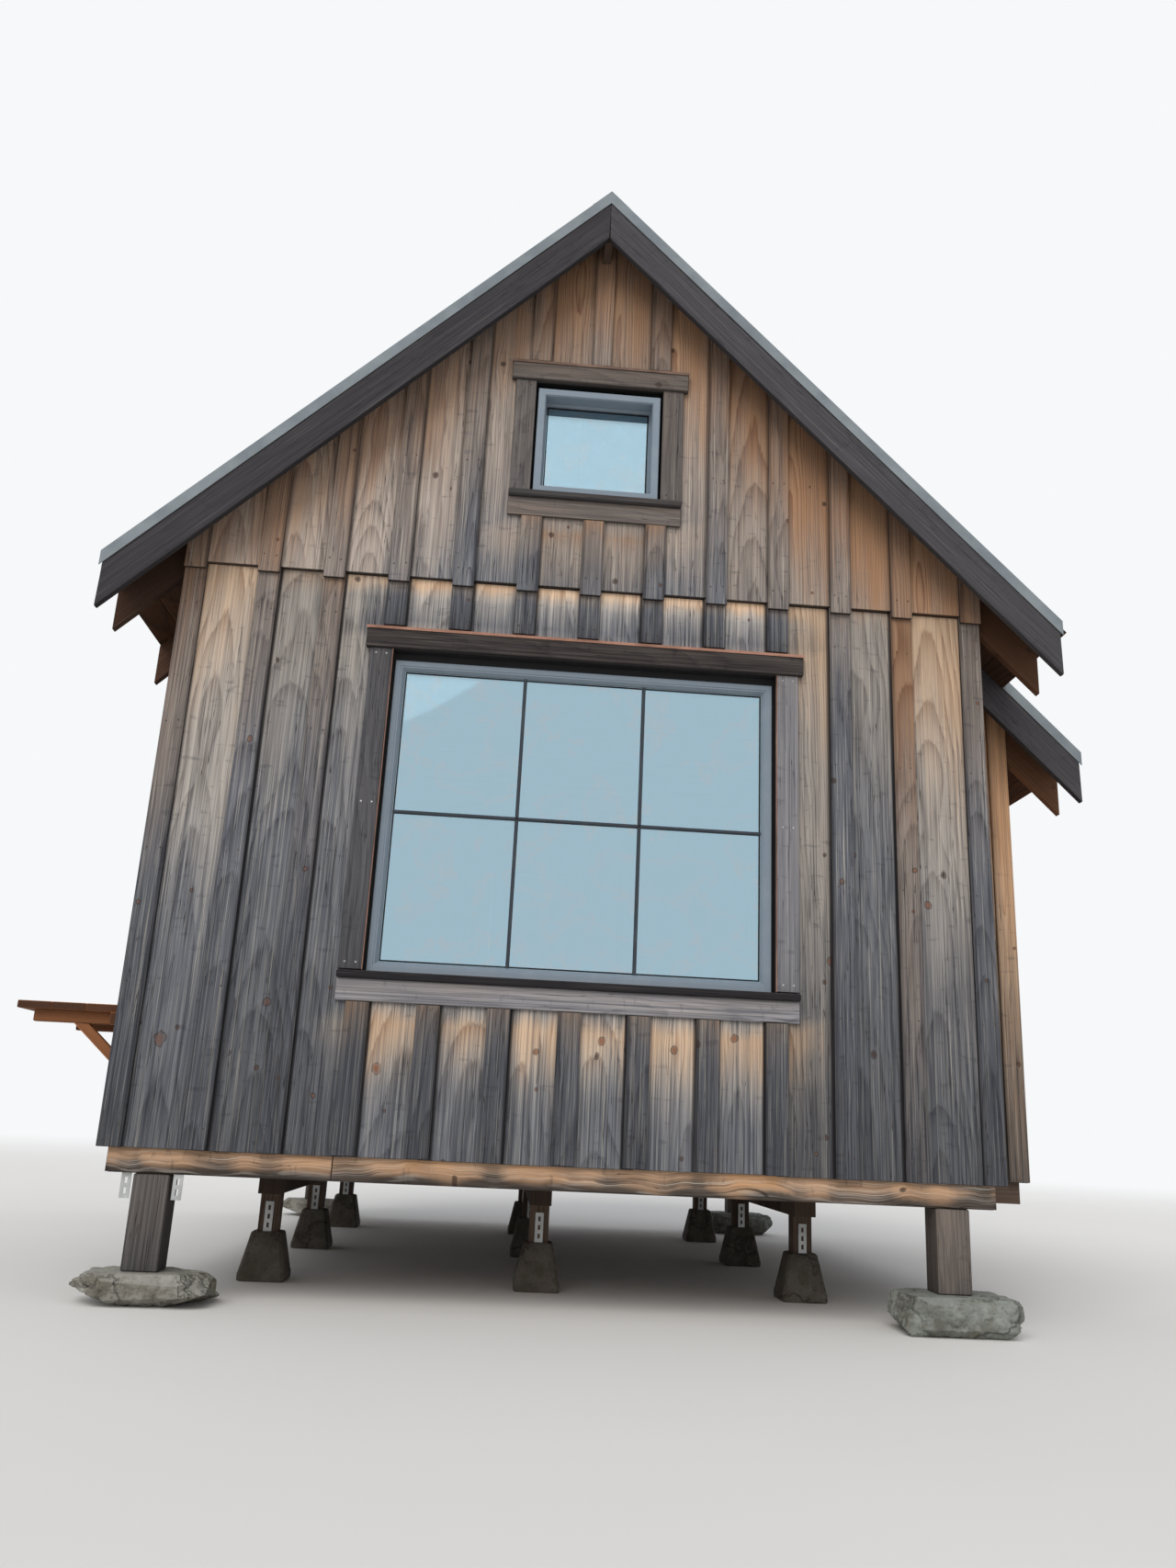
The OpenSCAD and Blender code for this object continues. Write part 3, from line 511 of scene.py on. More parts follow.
def glass(name):
    """Coated pane: mirrors the sky, and lets the room behind it show a little."""
    g = Graph(bpy.data.materials.new(name))
    smear = g.noise(g.position(), 5.0, 3.0).span(0.45, 0.8) * 0.03
    g.finish(shade("d6e2e4"), smear, Transmission_Weight=1.0, IOR=1.45)
    mirror = g.node("ShaderNodeBsdfGlossy", {"Color": shade("b5d2e0"), "Roughness": 0.015})
    g.surface(g.node("ShaderNodeMixShader", {0: 0.74, 1: g.shader.outputs[0], 2: mirror}))
    return g.owner


# Farther apart than any two timbers, for a direction in which there is only one
ONE = 50.0


def make_materials():
    m = {
        "siding": wood("weathered_boards", "d6ba9e 927258 b0a89f 6a625d 7e8085 3e4047"),
        "batten": wood("weathered_battens", "a8866a 6e4e3a 90847b 5a514d 707278 383a41", bias=0.15,
                       sides=0.8),
        # The gable's fresh colours, which show under the roof, are darker than the lower siding's: partly
        # painted shade under the roof
        "gable": wood("gable_boards", "ba9472 78503a b0a296 6a5e56 7e8085 3e4047"),
        "bay": wood("bay_boards", "d8ac84 9c6c48 c2a488 846a56 847a72 4c4644", age=0.6),
        "trim": wood("window_trim", "9c8a7a 6c5a4e 928881 5c5552 8e8d91 4e4e53", contrast=0.7, hair=0.12),
        "gable_trim": wood("gable_window_trim", "7c6c61 554840 706964 484342 68686c 3e3d41", contrast=0.7,
                           bias=0.3, hair=0.12),
        "head": wood("head_board_wood", "544840 342c28 544c48 2c2827 4a4646 262426", contrast=0.8,
                     hair=0.08),
        "sill": wood("sill_wood", "343030 201e1e 363334 222021 3c3a3c 242325", contrast=0.6, hair=0.05),
        "barge": wood("charcoal_boards", "403c3e 2c292a 403d3f 2d2a2c 464548 302e31", contrast=0.4,
                      knots=False, hair=0.05),
        "rim": wood("rim_wood", "cea278 a2724e b89678 866850 625850 2e2927", contrast=0.5),
        "post": wood("post_wood", "86786e 5c4e46 80766e 524944 767270 464242", contrast=0.6, hair=0.10),
        "shelf": wood("shelf_boards", "ba7c50 8c5634 b27c54 865638 967054 624432", age=0.2),
        "door": wood("door_planks", "a47a56 704a32 8e745e 564236 7a706a 463e3c", age=0.6),
        # The roof boards' dark colours are painted shade under the eaves
        "soffit": wood("soffit_boards", "6e4e38 483022 604838 3c2c24 5a4c42 362c28", age=0.1),
        "roof": metal("roof_edges", "8a9296 767e83", 0.42),
        "ribbed": metal("ribbed_roofing", "889094 7a8287", 0.42, rib_shade_and_grime=0.7),
        "zinc": metal("strap_zinc", "ced0ce a4a6a5", 0.4, 0.5, 0.4),
        "copper": metal("copper_flashing", "b68874 846050", 0.42, 0.35, 0.5),
        "brown_copper": metal("brown_flashing", "8e7464 645044", 0.5, 0.35, 0.5),
        "iron": metal("black_iron", "2c2a2a 3e322c", 0.5, 0.4, 0.5),
        "nail": metal("nail_heads", "605650 4a362c", 0.55, 0.3, 0.6),
        "pale_nail": metal("casing_nails", "c4c6c8 969696", 0.4, 0.4, 0.4),
        "frame": painted("window_paint", "7c8893 8b959d", 0.36),
        "bar": painted("window_bar_paint", "2c3239 464d54", 0.4),
        # Near-black, for weather strips and for sheets of painted shade in the window reveals
        "gasket_and_shade": painted("window_gasket_and_shade", "111113 201f20", 0.6),
        # Both stone finishes are darker than the stone, painted shade near the ground; the right stones'
        # copy is darker still, more painted shade
        "stone": rock("field_stone_face", "a2a097 706c62 46443e 746e54"),
        "shady_stone": rock("shady_stone_face", "90948d 65645d 403e39 68634e"),
        "concrete": rock("pier_concrete_face", "686259 544e46 38332e 4c483c"),
        "glass": glass("coated_glass"),
    }
    for key, name, colours, along, across, out, cells in (
        ("right_rafter", "right_rafter_wood", "76543c 4e3224", (COS, 0, -SIN), (SIN, 0, COS), Y, (ONE, 0.3)),
        # A darker copy of the right rafters' wood: painted shade under the left eave
        ("left_rafter", "left_rafter_wood", "563e30 38261e", (-COS, 0, -SIN), (-SIN, 0, COS), Y, (ONE, 0.3)),
        # Beams, joists and pier posts share a dark brown-grey: painted shade under the floor and the roof
        ("beam", "beam_wood", "625246 3c302a", Y, X, Z, (ONE, 0.5)),
        ("joist", "joist_wood", "625246 3c302a", X, Z, Y, (ONE, 0.19)),
        ("pier_post", "pier_post_wood", "625246 3c302a", Z, X, Y, (0.62, 0.7)),
        ("planks", "floor_planks", "b89470 8c684a", Y, X, Z, (0.14, ONE)),
        ("lining_x", "lining_of_gables", "b89470 8c684a", Z, X, Y, (0.12, ONE)),
        ("lining_y", "lining_of_sides", "b89470 8c684a", Z, Y, X, (0.12, ONE)),
    ):
        m[key] = wood(name, " ".join([colours] * 3), age=0.0, placed=(along, across, out, cells))
    return m


# Mesh pieces

def piece(name, verts, faces, material, nodes=(), fields=None, smooth=False):
    """One object of the dressed cabin, riding on its only body."""
    mesh = bpy.data.meshes.new(name)
    mesh.from_pydata(verts, [], faces)
    for key, values in (fields or {}).items():
        layer = mesh.attributes.new(key, "FLOAT_VECTOR", "POINT")
        layer.data.foreach_set("vector", [c for v in values for c in v])
    mesh.polygons.foreach_set("use_smooth", [smooth] * len(mesh.polygons))
    mesh.materials.append(material)
    mesh.validate()
    obj = bpy.data.objects.new(name, mesh)
    bpy.context.scene.collection.objects.link(obj)
    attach(obj, "root")
    if nodes:
        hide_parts(*nodes)
    return obj


def area(outline):
    pairs = zip(outline, outline[1:] + outline[:1])
    return sum(a[0] * b[1] - b[0] * a[1] for a, b in pairs) / 2


def section(w, t, c=0.0):
    """A rectangle, with its corners cut by c."""
    if c <= 0:
        return [(0, 0), (w, 0), (w, t), (0, t)]
    return [(c, 0), (w - c, 0), (w, c), (w, t - c), (w - c, t), (c, t), (0, t - c), (0, c)]


def skin(rows, n, flip=False):
    """Faces of a solid made of rows of n points each: the sides between its rows, and its two ends."""
    faces = [(k * n + i, k * n + (i + 1) % n, (k + 1) * n + (i + 1) % n, (k + 1) * n + i)
             for k in range(rows - 1) for i in range(n)]
    last = (rows - 1) * n
    faces += [tuple(reversed(range(n))), tuple(range(last, last + n))]
    return [tuple(reversed(f)) for f in faces] if flip else faces


class Solids:
    """Closed shapes gathered into one mesh."""

    def __init__(self):
        self.verts, self.faces, self.fields = [], [], None

    def add(self, verts, faces):
        start = len(self.verts)
        self.verts += [tuple(v) for v in verts]
        self.faces += [tuple(start + i for i in f) for f in faces]

    def prism(self, base, x, y, z, outline):
        """An outline in x and y, pushed along z."""
        low = [base + x * a + y * b for a, b in outline]
        flip = x.cross(y).dot(z) * area(outline) < 0
        self.add(low + [v + z for v in low], skin(2, len(outline), flip))

    def disc(self, centre, out, radius, height, sides=8):
        """A low round head."""
        out = out.normalized()
        x = out.orthogonal().normalized()
        turns = [2 * math.pi * i / sides for i in range(sides)]
        ring = [(radius * math.cos(a), radius * math.sin(a)) for a in turns]
        self.prism(centre, x, out.cross(x), out * height, ring)

    def make(self, name, material, slot, nodes=()):
        return piece(name, self.verts, self.faces, material, nodes, self.fields)


# How a batten sways: radians a metre along it, and over the range of its phase
SWAY_RATE, SWAY_TURN = 2.3, 6.28


class Timbers(Solids):
    """Boards and beams with worn edges, gathered into one mesh with the path of their grain."""

    def __init__(self, seed):
        super().__init__()
        self.rng = random.Random(seed)
        self.fields = {"grain": [], "weather": [], "tone": [], "knot": [], "size": []}

    def look(self, own=None, light=None, middle=None, shown=None, knot=None, lean=0.0):
        """Looks of one board, kept by all the pieces that it is cut into. own moves its weathering and light
        its tone. middle is its centre line, shown half the width that shows, and knot the place and radius
        of its main knot. lean is how dark its edge gets with painted shade and grime, on the left if it is
        more than 0."""
        r = self.rng
        own = r.gauss(0, 0.10) if own is None else own + r.gauss(0, 0.03)
        tone = (r.random(), r.random(), r.random() if light is None else light + r.gauss(0, 0.05))
        return {"tone": tone, "shift": r.uniform(0, 60), "own": own, "phase": r.random(), "middle": middle,
                "shown": shown, "knot": knot, "lean": lean}

    def board(self, base, along, across, out, width, thick, start, stop, cover=None, bias=0.0,
              chamfer=0.0025, step=0.25, sealed=(True, True), sway=0.0, look=None, edge=None):
        """start and stop are lengths along the board, or functions of the place in its section. cover gives
        how much weather and damp reaches a place. Ends that aren't sealed carry on in the next piece. edge
        moves the section's corners, for a rough edge."""
        look = look or self.look()
        shift = look["shift"]
        middle = width / 2 if look["middle"] is None else look["middle"]
        shown = (look["shown"], look["lean"]) if look["shown"] else (1.0, 0.0)
        x, y, radius = look["knot"] or (0.0, 0.0, 0.0)
        knot = (x + shift, y, radius)  # A radius of 0 is no knot
        begin = start if callable(start) else (lambda y, z: start)
        end = stop if callable(stop) else (lambda y, z: stop)
        length = end(width / 2, thick / 2) - begin(width / 2, thick / 2)
        count = max(2, math.ceil(length / step))
        rows = [(0.0, 0.0, sealed[0])] + [(0.0, chamfer, False)] * sealed[0]
        rows += [(k / count, 0.0, False) for k in range(1, count)]
        rows += [(1.0, -chamfer, False)] * sealed[1] + [(1.0, 0.0, sealed[1])]
        outline = section(width, thick, chamfer)
        verts = []
        for share, push, inset in rows:
            for y, z in outline:
                t = begin(y, z) * (1 - share) + end(y, z) * share + push
                if inset:
                    y = width / 2 + (y - width / 2) * (1 - 2 * chamfer / width)
                    z = thick / 2 + (z - thick / 2) * (1 - 2 * chamfer / thick)
                dy, dz = edge(t, y, z) if edge else (0.0, 0.0)
                dy += sway * math.sin(SWAY_RATE * t + SWAY_TURN * look["phase"])
                p = base + along * t + across * (y + dy) + out * (z + dz)
                verts.append(p)
                exposure, damp = cover(p) if cover else (1.0, 0.0)
                self.fields["grain"].append((t + shift, y - middle, z - thick))
                self.fields["weather"].append((exposure, damp, look["own"] + bias))
                self.fields["tone"].append(look["tone"])
                self.fields["knot"].append(knot)
                # Its last value marks the sealed ends, which the wood darkens: end grain with painted shade
                self.fields["size"].append((*shown, 1.0 if inset else 0.0))
        self.add(verts, skin(len(rows), len(outline), across.cross(out).dot(along) < 0))

    def upright(self, wall, x, out, width, thick, start, stop, bias=0.0, **more):
        """An upright board on a wall, from its left side x."""
        self.board(wall.place(x, out), Z, wall.u, wall.n, width, thick, start, stop, wall.cover, bias,
                   **more)

    def level(self, wall, x, out, z, length, width, thick, bias=0.0, **more):
        """A level board on a wall, from its low left corner."""
        self.board(wall.place(x, out, z), wall.u, Z, wall.n, width, thick, 0, length, wall.cover, bias,
                   **more)


# Walls and their siding

# How high the ground's damp splashes up a wall
SPLASH = 1.35


class Wall:
    """A siding face: its middle at the ground, its own left to right and its way out. top is where its
    boards end, and eave the roof line that keeps the rain off. Rain reaches it from shade below that line
    on, and in full from reach farther down. proud is how far it stands out from the lower face."""

    def __init__(self, origin, u, n, top, reach, shade, eave=None, proud=0.0):
        self.origin, self.u, self.n, self.proud = origin, u, n, proud
        self.top, self.eave, self.reach, self.shade = top, eave or top, reach, shade
        self.ledges, self.stains = [], []

    def cover(self, p):
        """0 where a roof or ledge keeps the rain off, 1 in the open, and the damp that splashes up or runs
        down below a stain's top."""
        x = (p - self.origin).dot(self.u)
        exposure = (self.eave(x) - p.z - self.shade) / self.reach
        for x0, x1, z, zone in self.ledges:
            if x0 < x < x1 and p.z < z + 0.001:
                exposure = min(exposure, (z - p.z) / zone)
        damp = 1 - clamp((p.z - FOOT) / SPLASH)
        for x0, x1, z0, z1, strength in self.stains:
            if x0 < x < x1 and z0 < p.z < z1:
                damp = max(damp, strength * clamp((z1 - p.z) / (z1 - z0)))
                exposure = max(exposure, strength)
        return clamp(exposure), damp

    def place(self, x, out, z=0.0):
        return self.origin + self.u * x + self.n * (out + self.proud) + Z * z

    def plate(self, solids, x, out, z, width, height, depth, chamfer=0.0):
        """A flat block from its low left corner, pushed out by depth, or in where that is below 0."""
        solids.prism(self.place(x, out, z), self.u, Z, self.n * depth, section(width, height, chamfer))


# Nails: the first row's height up a batten, the rows' spacing, the space that they leave below its head, and
# how far they lie from a batten's middle or a casing's sides. Then the heads of both kinds: radius, how far
# they start in the wood, and height.
NAIL_FIRST, NAIL_RISE, NAIL_TOP, NAIL_SIDE = 0.09, 0.56, 0.05, 0.026
NAIL_R, NAIL_IN, CASING_NAIL_R, CASING_NAIL_IN, NAIL_H = 0.0034, 0.0015, 0.0042, 0.001, 0.0022

# Weathering and tone of the front's boards and battens from left to right, with the two corner battens last,
# and its large knots: place from the middle, height up the siding and radius
FRONT_BOARDS = ((0.08, 0.66), (0.26, 0.30), (0.10, 0.36), (-0.15, 1.15), (-0.10, 1.15), (-0.20, 1.2),
                (-0.10, 1.2), (-0.20, 1.2), (-0.15, 1.2), (-0.36, 0.22), (0.28, 0.30), (-0.18, 0.32))
FRONT_BATTENS = ((0.20, 0.55), (-0.15, 0.40), (0.2, 0.25), (0.25, 0.35), (0.2, 0.40), (0.15, 0.5),
                 (0.25, 0.35), (0.15, 0.5), (0.25, 0.4), (0.25, 0.5), (-0.60, 0.35), (0.0, 0.30),
                 (0.3, 0.35))
GABLE_BOARDS = ((0.24, 0.9), (0.30, 0.9), (0.26, 0.85), (0.26, 0.7), (0.26, 0.6), (0.04, 0.25),
                (0.08, 0.25), (0.14, 0.55), (0.08, 0.42), (-0.02, 0.46), (-0.08, 0.44), (0.0, 0.5))
GABLE_BATTENS = ((0.0, 0.8), (0.05, 0.75), (0.10, 0.7), (0.20, 0.6), (0.05, 0.55), (-0.1, 0.5), (0.0, 0.5),
                 (0.05, 0.6), (-0.05, 0.65), (-0.10, 0.65), (-0.12, 0.6), (0.05, 0.7), (-0.05, 0.6))
FRONT_KNOTS = ((-1.65, 0.425, 0.024), (-1.239, 0.592, 0.014), (-0.777, 0.348, 0.020), (-0.132, 0.446, 0.011),
               (0.138, 0.503, 0.013), (0.444, 0.481, 0.014), (0.693, 0.542, 0.014), (1.106, 0.890, 0.018),
               (1.214, 1.358, 0.012), (1.543, 1.154, 0.014))


def pieces_round(x0, x1, low, holes, slack=0.004):
    """Cuts an upright board round holes. Each piece gives its sides, its foot and its head, or None for the
    wall's top."""
    parts = []
    z = low
    for hx0, hx1, hz0, hz1 in sorted(holes, key=lambda h: h[2]):
        if x1 < hx0 + slack or x0 > hx1 - slack:
            continue
        if hz0 > z:
            parts.append((x0, x1, z, hz0))
        if x0 < hx0 - slack:
            parts.append((x0, hx0, max(hz0, low), hz1))
        if x1 > hx1 + slack:
            parts.append((hx1, x1, max(hz0, low), hz1))
        z = hz1
    parts.append((x0, x1, z, None))
    return parts


def board_layer(timbers, wall, edges, low, holes=(), uneven=0.004, tones=None, knots=(), dirt=0.9):
    """The wide boards behind the battens, each from one edge to the next."""
    rng = timbers.rng
    thick = BOARD + wall.proud
    for k, (x0, x1) in enumerate(zip(edges, edges[1:])):
        foot = low + rng.uniform(0, uneven)
        middle = (x0 + x1) / 2
        knot = (FOOT + rng.uniform(0.2, 2.2), rng.uniform(-0.07, 0.07), rng.uniform(0.008, 0.016))
        for kx, kz, radius in knots:
            if x0 < kx < x1:
                knot = (kz + FOOT, kx - middle, radius)
        own, light = tones[k] if tones else (None, None)
        # A dark line beside the batten, on the side towards the wall's middle: painted shade with some grime
        look = timbers.look(own, light, shown=(x1 - x0 - BATTEN_W) / 2, knot=knot,
                            lean=-math.copysign(dirt, middle))
        for a, b, z0, z1 in pieces_round(x0 + BOARD_GAP, x1 - BOARD_GAP, foot, holes):
            stop = (lambda y, z, a=a: wall.top(a + y)) if z1 is None else z1
            timbers.upright(wall, a, -BOARD - thick, b - a, thick, z0, stop, step=SIDING_STEP, chamfer=0.002,
                            sealed=(z0 == foot, z1 is None), look=dict(look, middle=middle - a))


def batten_layer(timbers, wall, centres, low, trims=(), bias=0.05, tones=None):
    """Battens over the joints, cut to length above and below the window trim."""
    rng = timbers.rng
    for k, c in enumerate(centres):
        foot = low + rng.uniform(0, 0.005)
        own, light = tones[k] if tones else (None, None)
        knot = (FOOT + rng.uniform(0.2, 2.4), rng.uniform(-0.03, 0.03), rng.uniform(0.006, 0.011))
        # A dark line along the side towards the wall's middle: painted shade with some grime
        look = timbers.look(own, light, shown=BATTEN_W / 2, knot=knot, lean=math.copysign(0.45, c))
        left = c - BATTEN_W / 2 + rng.uniform(-0.0015, 0.0015)
        thick = BOARD - rng.uniform(0, 0.002)
        for a, b, z0, z1 in pieces_round(left, left + BATTEN_W, foot, trims, slack=0.02):
            if b - a < LEAST_BATTEN:
                continue
            stop = (lambda y, z, a=a: wall.top(a + y)) if z1 is None else z1 - 0.002
            timbers.upright(wall, a, -BOARD, b - a, thick, z0, stop, bias, step=SIDING_STEP,
                            look=dict(look, middle=c - a), sway=0.0 if trims else 0.001)


def nail_rows(nails, wall, centres, low, trim):
    """Two nail heads at equal heights up each batten, but none in the trim's outline."""
    x0, x1, z0, z1 = trim
    rng = random.Random(len(centres) * 7 + int(low * 100))
    for c in centres:
        z = low + NAIL_FIRST
        while z < min(wall.top(c), wall.eave(c)) - NAIL_TOP:
            if not (x0 < c < x1 and z0 - 0.01 < z < z1 + 0.01):
                for side in (-NAIL_SIDE, NAIL_SIDE):
                    x = c + side + rng.uniform(-0.003, 0.003)
                    place = wall.place(x, -NAIL_IN, z + rng.uniform(-0.006, 0.006))
                    nails.disc(place, wall.n, NAIL_R, NAIL_H, 6)
            z += NAIL_RISE


def trim_cut(window):
    """The outline that a window's casings, head and apron cover, and the hole that they hide in the
    boards."""
    half, foot, height = window
    low, high = foot - SILL_H, foot + height + HEAD_GAP
    wide = half + JAMB_GAP + CASING
    mid = wide - CASING / 2
    trim = (-wide - HEAD_OUT, wide + HEAD_OUT, low - APRON_H, high + HEAD_H + FLASHING_H)
    return trim, (-mid, mid, low - APRON_H / 2, high + HEAD_H / 2)


# What the rear door's casings cover beside it and over it, and how far the boards' hole is larger than it
DOOR_COVER, DOOR_HEAD_COVER, DOOR_HOLE = 0.102, 0.11, 0.05


def door_cut():
    """The outline that the rear door's casings cover, and the hole that they hide in the boards."""
    low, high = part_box("rear_door")
    half = (high.x - low.x) / 2
    wide, mid = half + DOOR_COVER, half + DOOR_HOLE
    return (-wide, wide, 0, high.z + DOOR_HEAD_COVER), (-mid, mid, 0, high.z + DOOR_HOLE)


def apron_ledge(window, zone=0.42):
    """How far below a window's apron the rain stays off."""
    half, foot, _ = window
    wide = half + JAMB_GAP + CASING
    return (-wide, wide, foot - SILL_H - APRON_H, zone)


def clad(boards, battens, nails, wall, half, low, cut, batten_low=None, bias=0.05, tones=(None, None),
         **more):
    """Boards, battens and nails of a whole face round its window or door, half wide to each side."""
    n = math.floor((half - BATTEN_W * 1.5) / PITCH)
    joints = [k * PITCH for k in range(-n, n + 1)]
    places = joints + [-half + BATTEN_W / 2, half - BATTEN_W / 2]
    foot = low if batten_low is None else batten_low
    trim, hole = cut
    board_layer(boards, wall, [-half] + joints + [half], low, [hole], tones=tones[0], **more)
    batten_layer(battens, wall, places, foot, [trim], bias, tones[1])
    nail_rows(nails, wall, places, foot, trim)


def make_siding(m, tag, node, boards, battens, board_look="siding", batten_look="batten",
                slot="weathered_siding"):
    boards.make(tag + "_boards", m[board_look], slot, (node,))
    battens.make(tag + "_battens", m[batten_look], slot)


def dress_gable_end(m, nails, tag, y, u, n, seed):
    """One gable end: the lower face with its window or door, and the gable, which stands proud of it."""
    front = tag == "front"
    wall = Wall(at(0, y, 0), u, n, flat(COURSE), reach=1.55, shade=0.10, eave=rafter_low)
    wall.ledges = [(-HALF_W, HALF_W, COURSE, 0.20)]
    cut = trim_cut(BIG) if front else door_cut()
    if front:
        wall.ledges.append(apron_ledge(BIG))
        wall.stains = [(-1.05, 1.0, cut[0][3], COURSE - 0.03, 0.9)]
    boards, battens = Timbers(seed), Timbers(seed + 2)
    clad(boards, battens, nails, wall, HALF_W, FOOT, cut, knots=FRONT_KNOTS if front else (),
         tones=(FRONT_BOARDS, FRONT_BATTENS) if front else (None, None))
    make_siding(m, tag + "_lower", tag + "_siding", boards, battens)

    wall = Wall(at(0, y, 0), u, n, roof_low, reach=1.15, shade=0.12, eave=rafter_low, proud=COURSE_STEP)
    wall.ledges = [apron_ledge(GABLE_SMALL, 0.3)]
    boards, battens = Timbers(seed + 10), Timbers(seed + 12)
    clad(boards, battens, nails, wall, HALF_W, COURSE, trim_cut(GABLE_SMALL), COURSE - COURSE_DROP,
         tones=(GABLE_BOARDS, GABLE_BATTENS) if front else (None, None), uneven=0.003, dirt=0.5)
    make_siding(m, tag + "_gable", tag + "_gable_siding", boards, battens, "gable")


def dress_walls(m, nails):
    dress_gable_end(m, nails, "front", FRONT, X, -Y, 11)
    dress_gable_end(m, nails, "rear", REAR, -X, Y, 12)

    wall = Wall(at(-HALF_W, 0, 0), -Y, -X, flat(SIDE_TOP), reach=1.2, shade=0.08)
    wall.ledges = [apron_ledge(LEFT_BIG)]
    boards, battens = Timbers(31), Timbers(32)
    clad(boards, battens, nails, wall, CORE_Y, FOOT, trim_cut(LEFT_BIG))
    make_siding(m, "left", "left_siding", boards, battens)

    wall = Wall(at(HALF_W, 0, 0), Y, X, flat(SIDE_TOP), reach=1.2, shade=0.08)
    boards, battens = Timbers(41), Timbers(42)
    mid = (CORE_Y + BAY_HALF) / 2
    for sign in (-1, 1):
        board_layer(boards, wall, sorted([sign * CORE_Y, sign * mid, sign * BAY_HALF]), FOOT)
        batten_layer(battens, wall, [sign * mid, sign * (CORE_Y - BATTEN_W / 2)], FOOT)
    make_siding(m, "right", "right_siding", boards, battens)

    wall = Wall(at(BAY_X, 0, 0), Y, X, flat(BAY_TOP), reach=1.3, shade=0.05)
    wall.ledges = [apron_ledge(BAY_SMALL)]
    boards, battens = Timbers(51), Timbers(52)
    clad(boards, battens, nails, wall, BAY_HALF - SKIN, FOOT, trim_cut(BAY_SMALL), bias=0.0)
    for sign in (-1, 1):
        wall = Wall(at(0, sign * BAY_HALF, 0), X, Y * sign, roof_low, reach=1.5, shade=0.25)
        board_layer(boards, wall, [CORE_X, (CORE_X + BAY_X) / 2, BAY_X], FOOT)
        batten_layer(battens, wall, [HALF_W + BATTEN_W / 2, BAY_X - BATTEN_W / 2], FOOT, bias=0.0)
    make_siding(m, "bay", "bay_siding", boards, battens, "bay", "bay", "bay_siding")


# Windows and the door

# Profiles of a window's rings: distances in from the ring's outline and out from the frame's face
FRAME_PROFILE = [(0, -FRAME_D), (0.028, -FRAME_D), (0.028, -0.006), (0.024, 0), (0.003, 0), (0, -0.003)]
SASH_PROFILE = [(0, 0.008 - FRAME_D), (0.021, 0.008 - FRAME_D), (0.021, -0.030), (0.017, -0.019),
                (0.006, -0.004), (0, -0.004)]
SEAL_PROFILE = [(0, 0.01 - FRAME_D), (0.012, 0.01 - FRAME_D), (0.012, -0.016), (0, -0.016)]
BEAD_PROFILE = [(0, -0.003), (0.006, -0.003), (0.006, 0.0045), (0.002, 0.0045), (0, 0.002)]
SASH_IN, GLASS_IN, SEAL_OUT, LINER_T = 0.026, 0.047, 0.0115, 0.0015
# The filler in the gap over a frame, and the liners of LINER_T, are black sheets of painted shade
FILLER_IN, FILLER_T = 0.012, 0.004
BAR_W = 0.016
BAR_PROFILE = [(0, 0), (BAR_W, 0), (BAR_W, 0.004), (BAR_W - 0.004, 0.009), (0.004, 0.009), (0, 0.004)]
FLANGE_W, FLANGE_SHY = 0.038, 0.006

# Trim of large and small windows: materials of the casings, sill, head, flashing and nails, slots and nodes
# of the casings and the head, the apron's tone, and how many spaces lie between the rows of nails
LARGE_TRIM = (("trim", "sill", "head", "copper", "pale_nail"), ("weathered_siding", "head_boards"),
              ("large_window_trim", "large_window_heads"), 1.62, 2)
SMALL_TRIM = (("gable_trim", "gable_trim", "gable_trim", "brown_copper", "nail"), ("gable_trim",) * 2,
              ("small_window_trim",) * 2, 0.78, 1)


def mitred_ring(solids, wall, half, foot, top, profile, out0):
    """A mitred frame. The profile gives each corner's distance in from the outline and out from out0."""
    n = len(profile)
    verts = []
    for side, z, inward in ((-1, foot, 1), (1, foot, 1), (1, top, -1), (-1, top, -1)):
        verts += [wall.place(side * (half - inset), out0 + out, z + inward * inset)
                  for inset, out in profile]
    faces = []
    for k in range(4):
        a, b = k * n, (k + 1) % 4 * n
        faces += [(a + i, a + (i + 1) % n, b + (i + 1) % n, b + i) for i in range(n)]
    if area(profile) * wall.u.cross(Z).dot(wall.n) > 0:
        faces = [tuple(reversed(f)) for f in faces]
    solids.add(verts, faces)


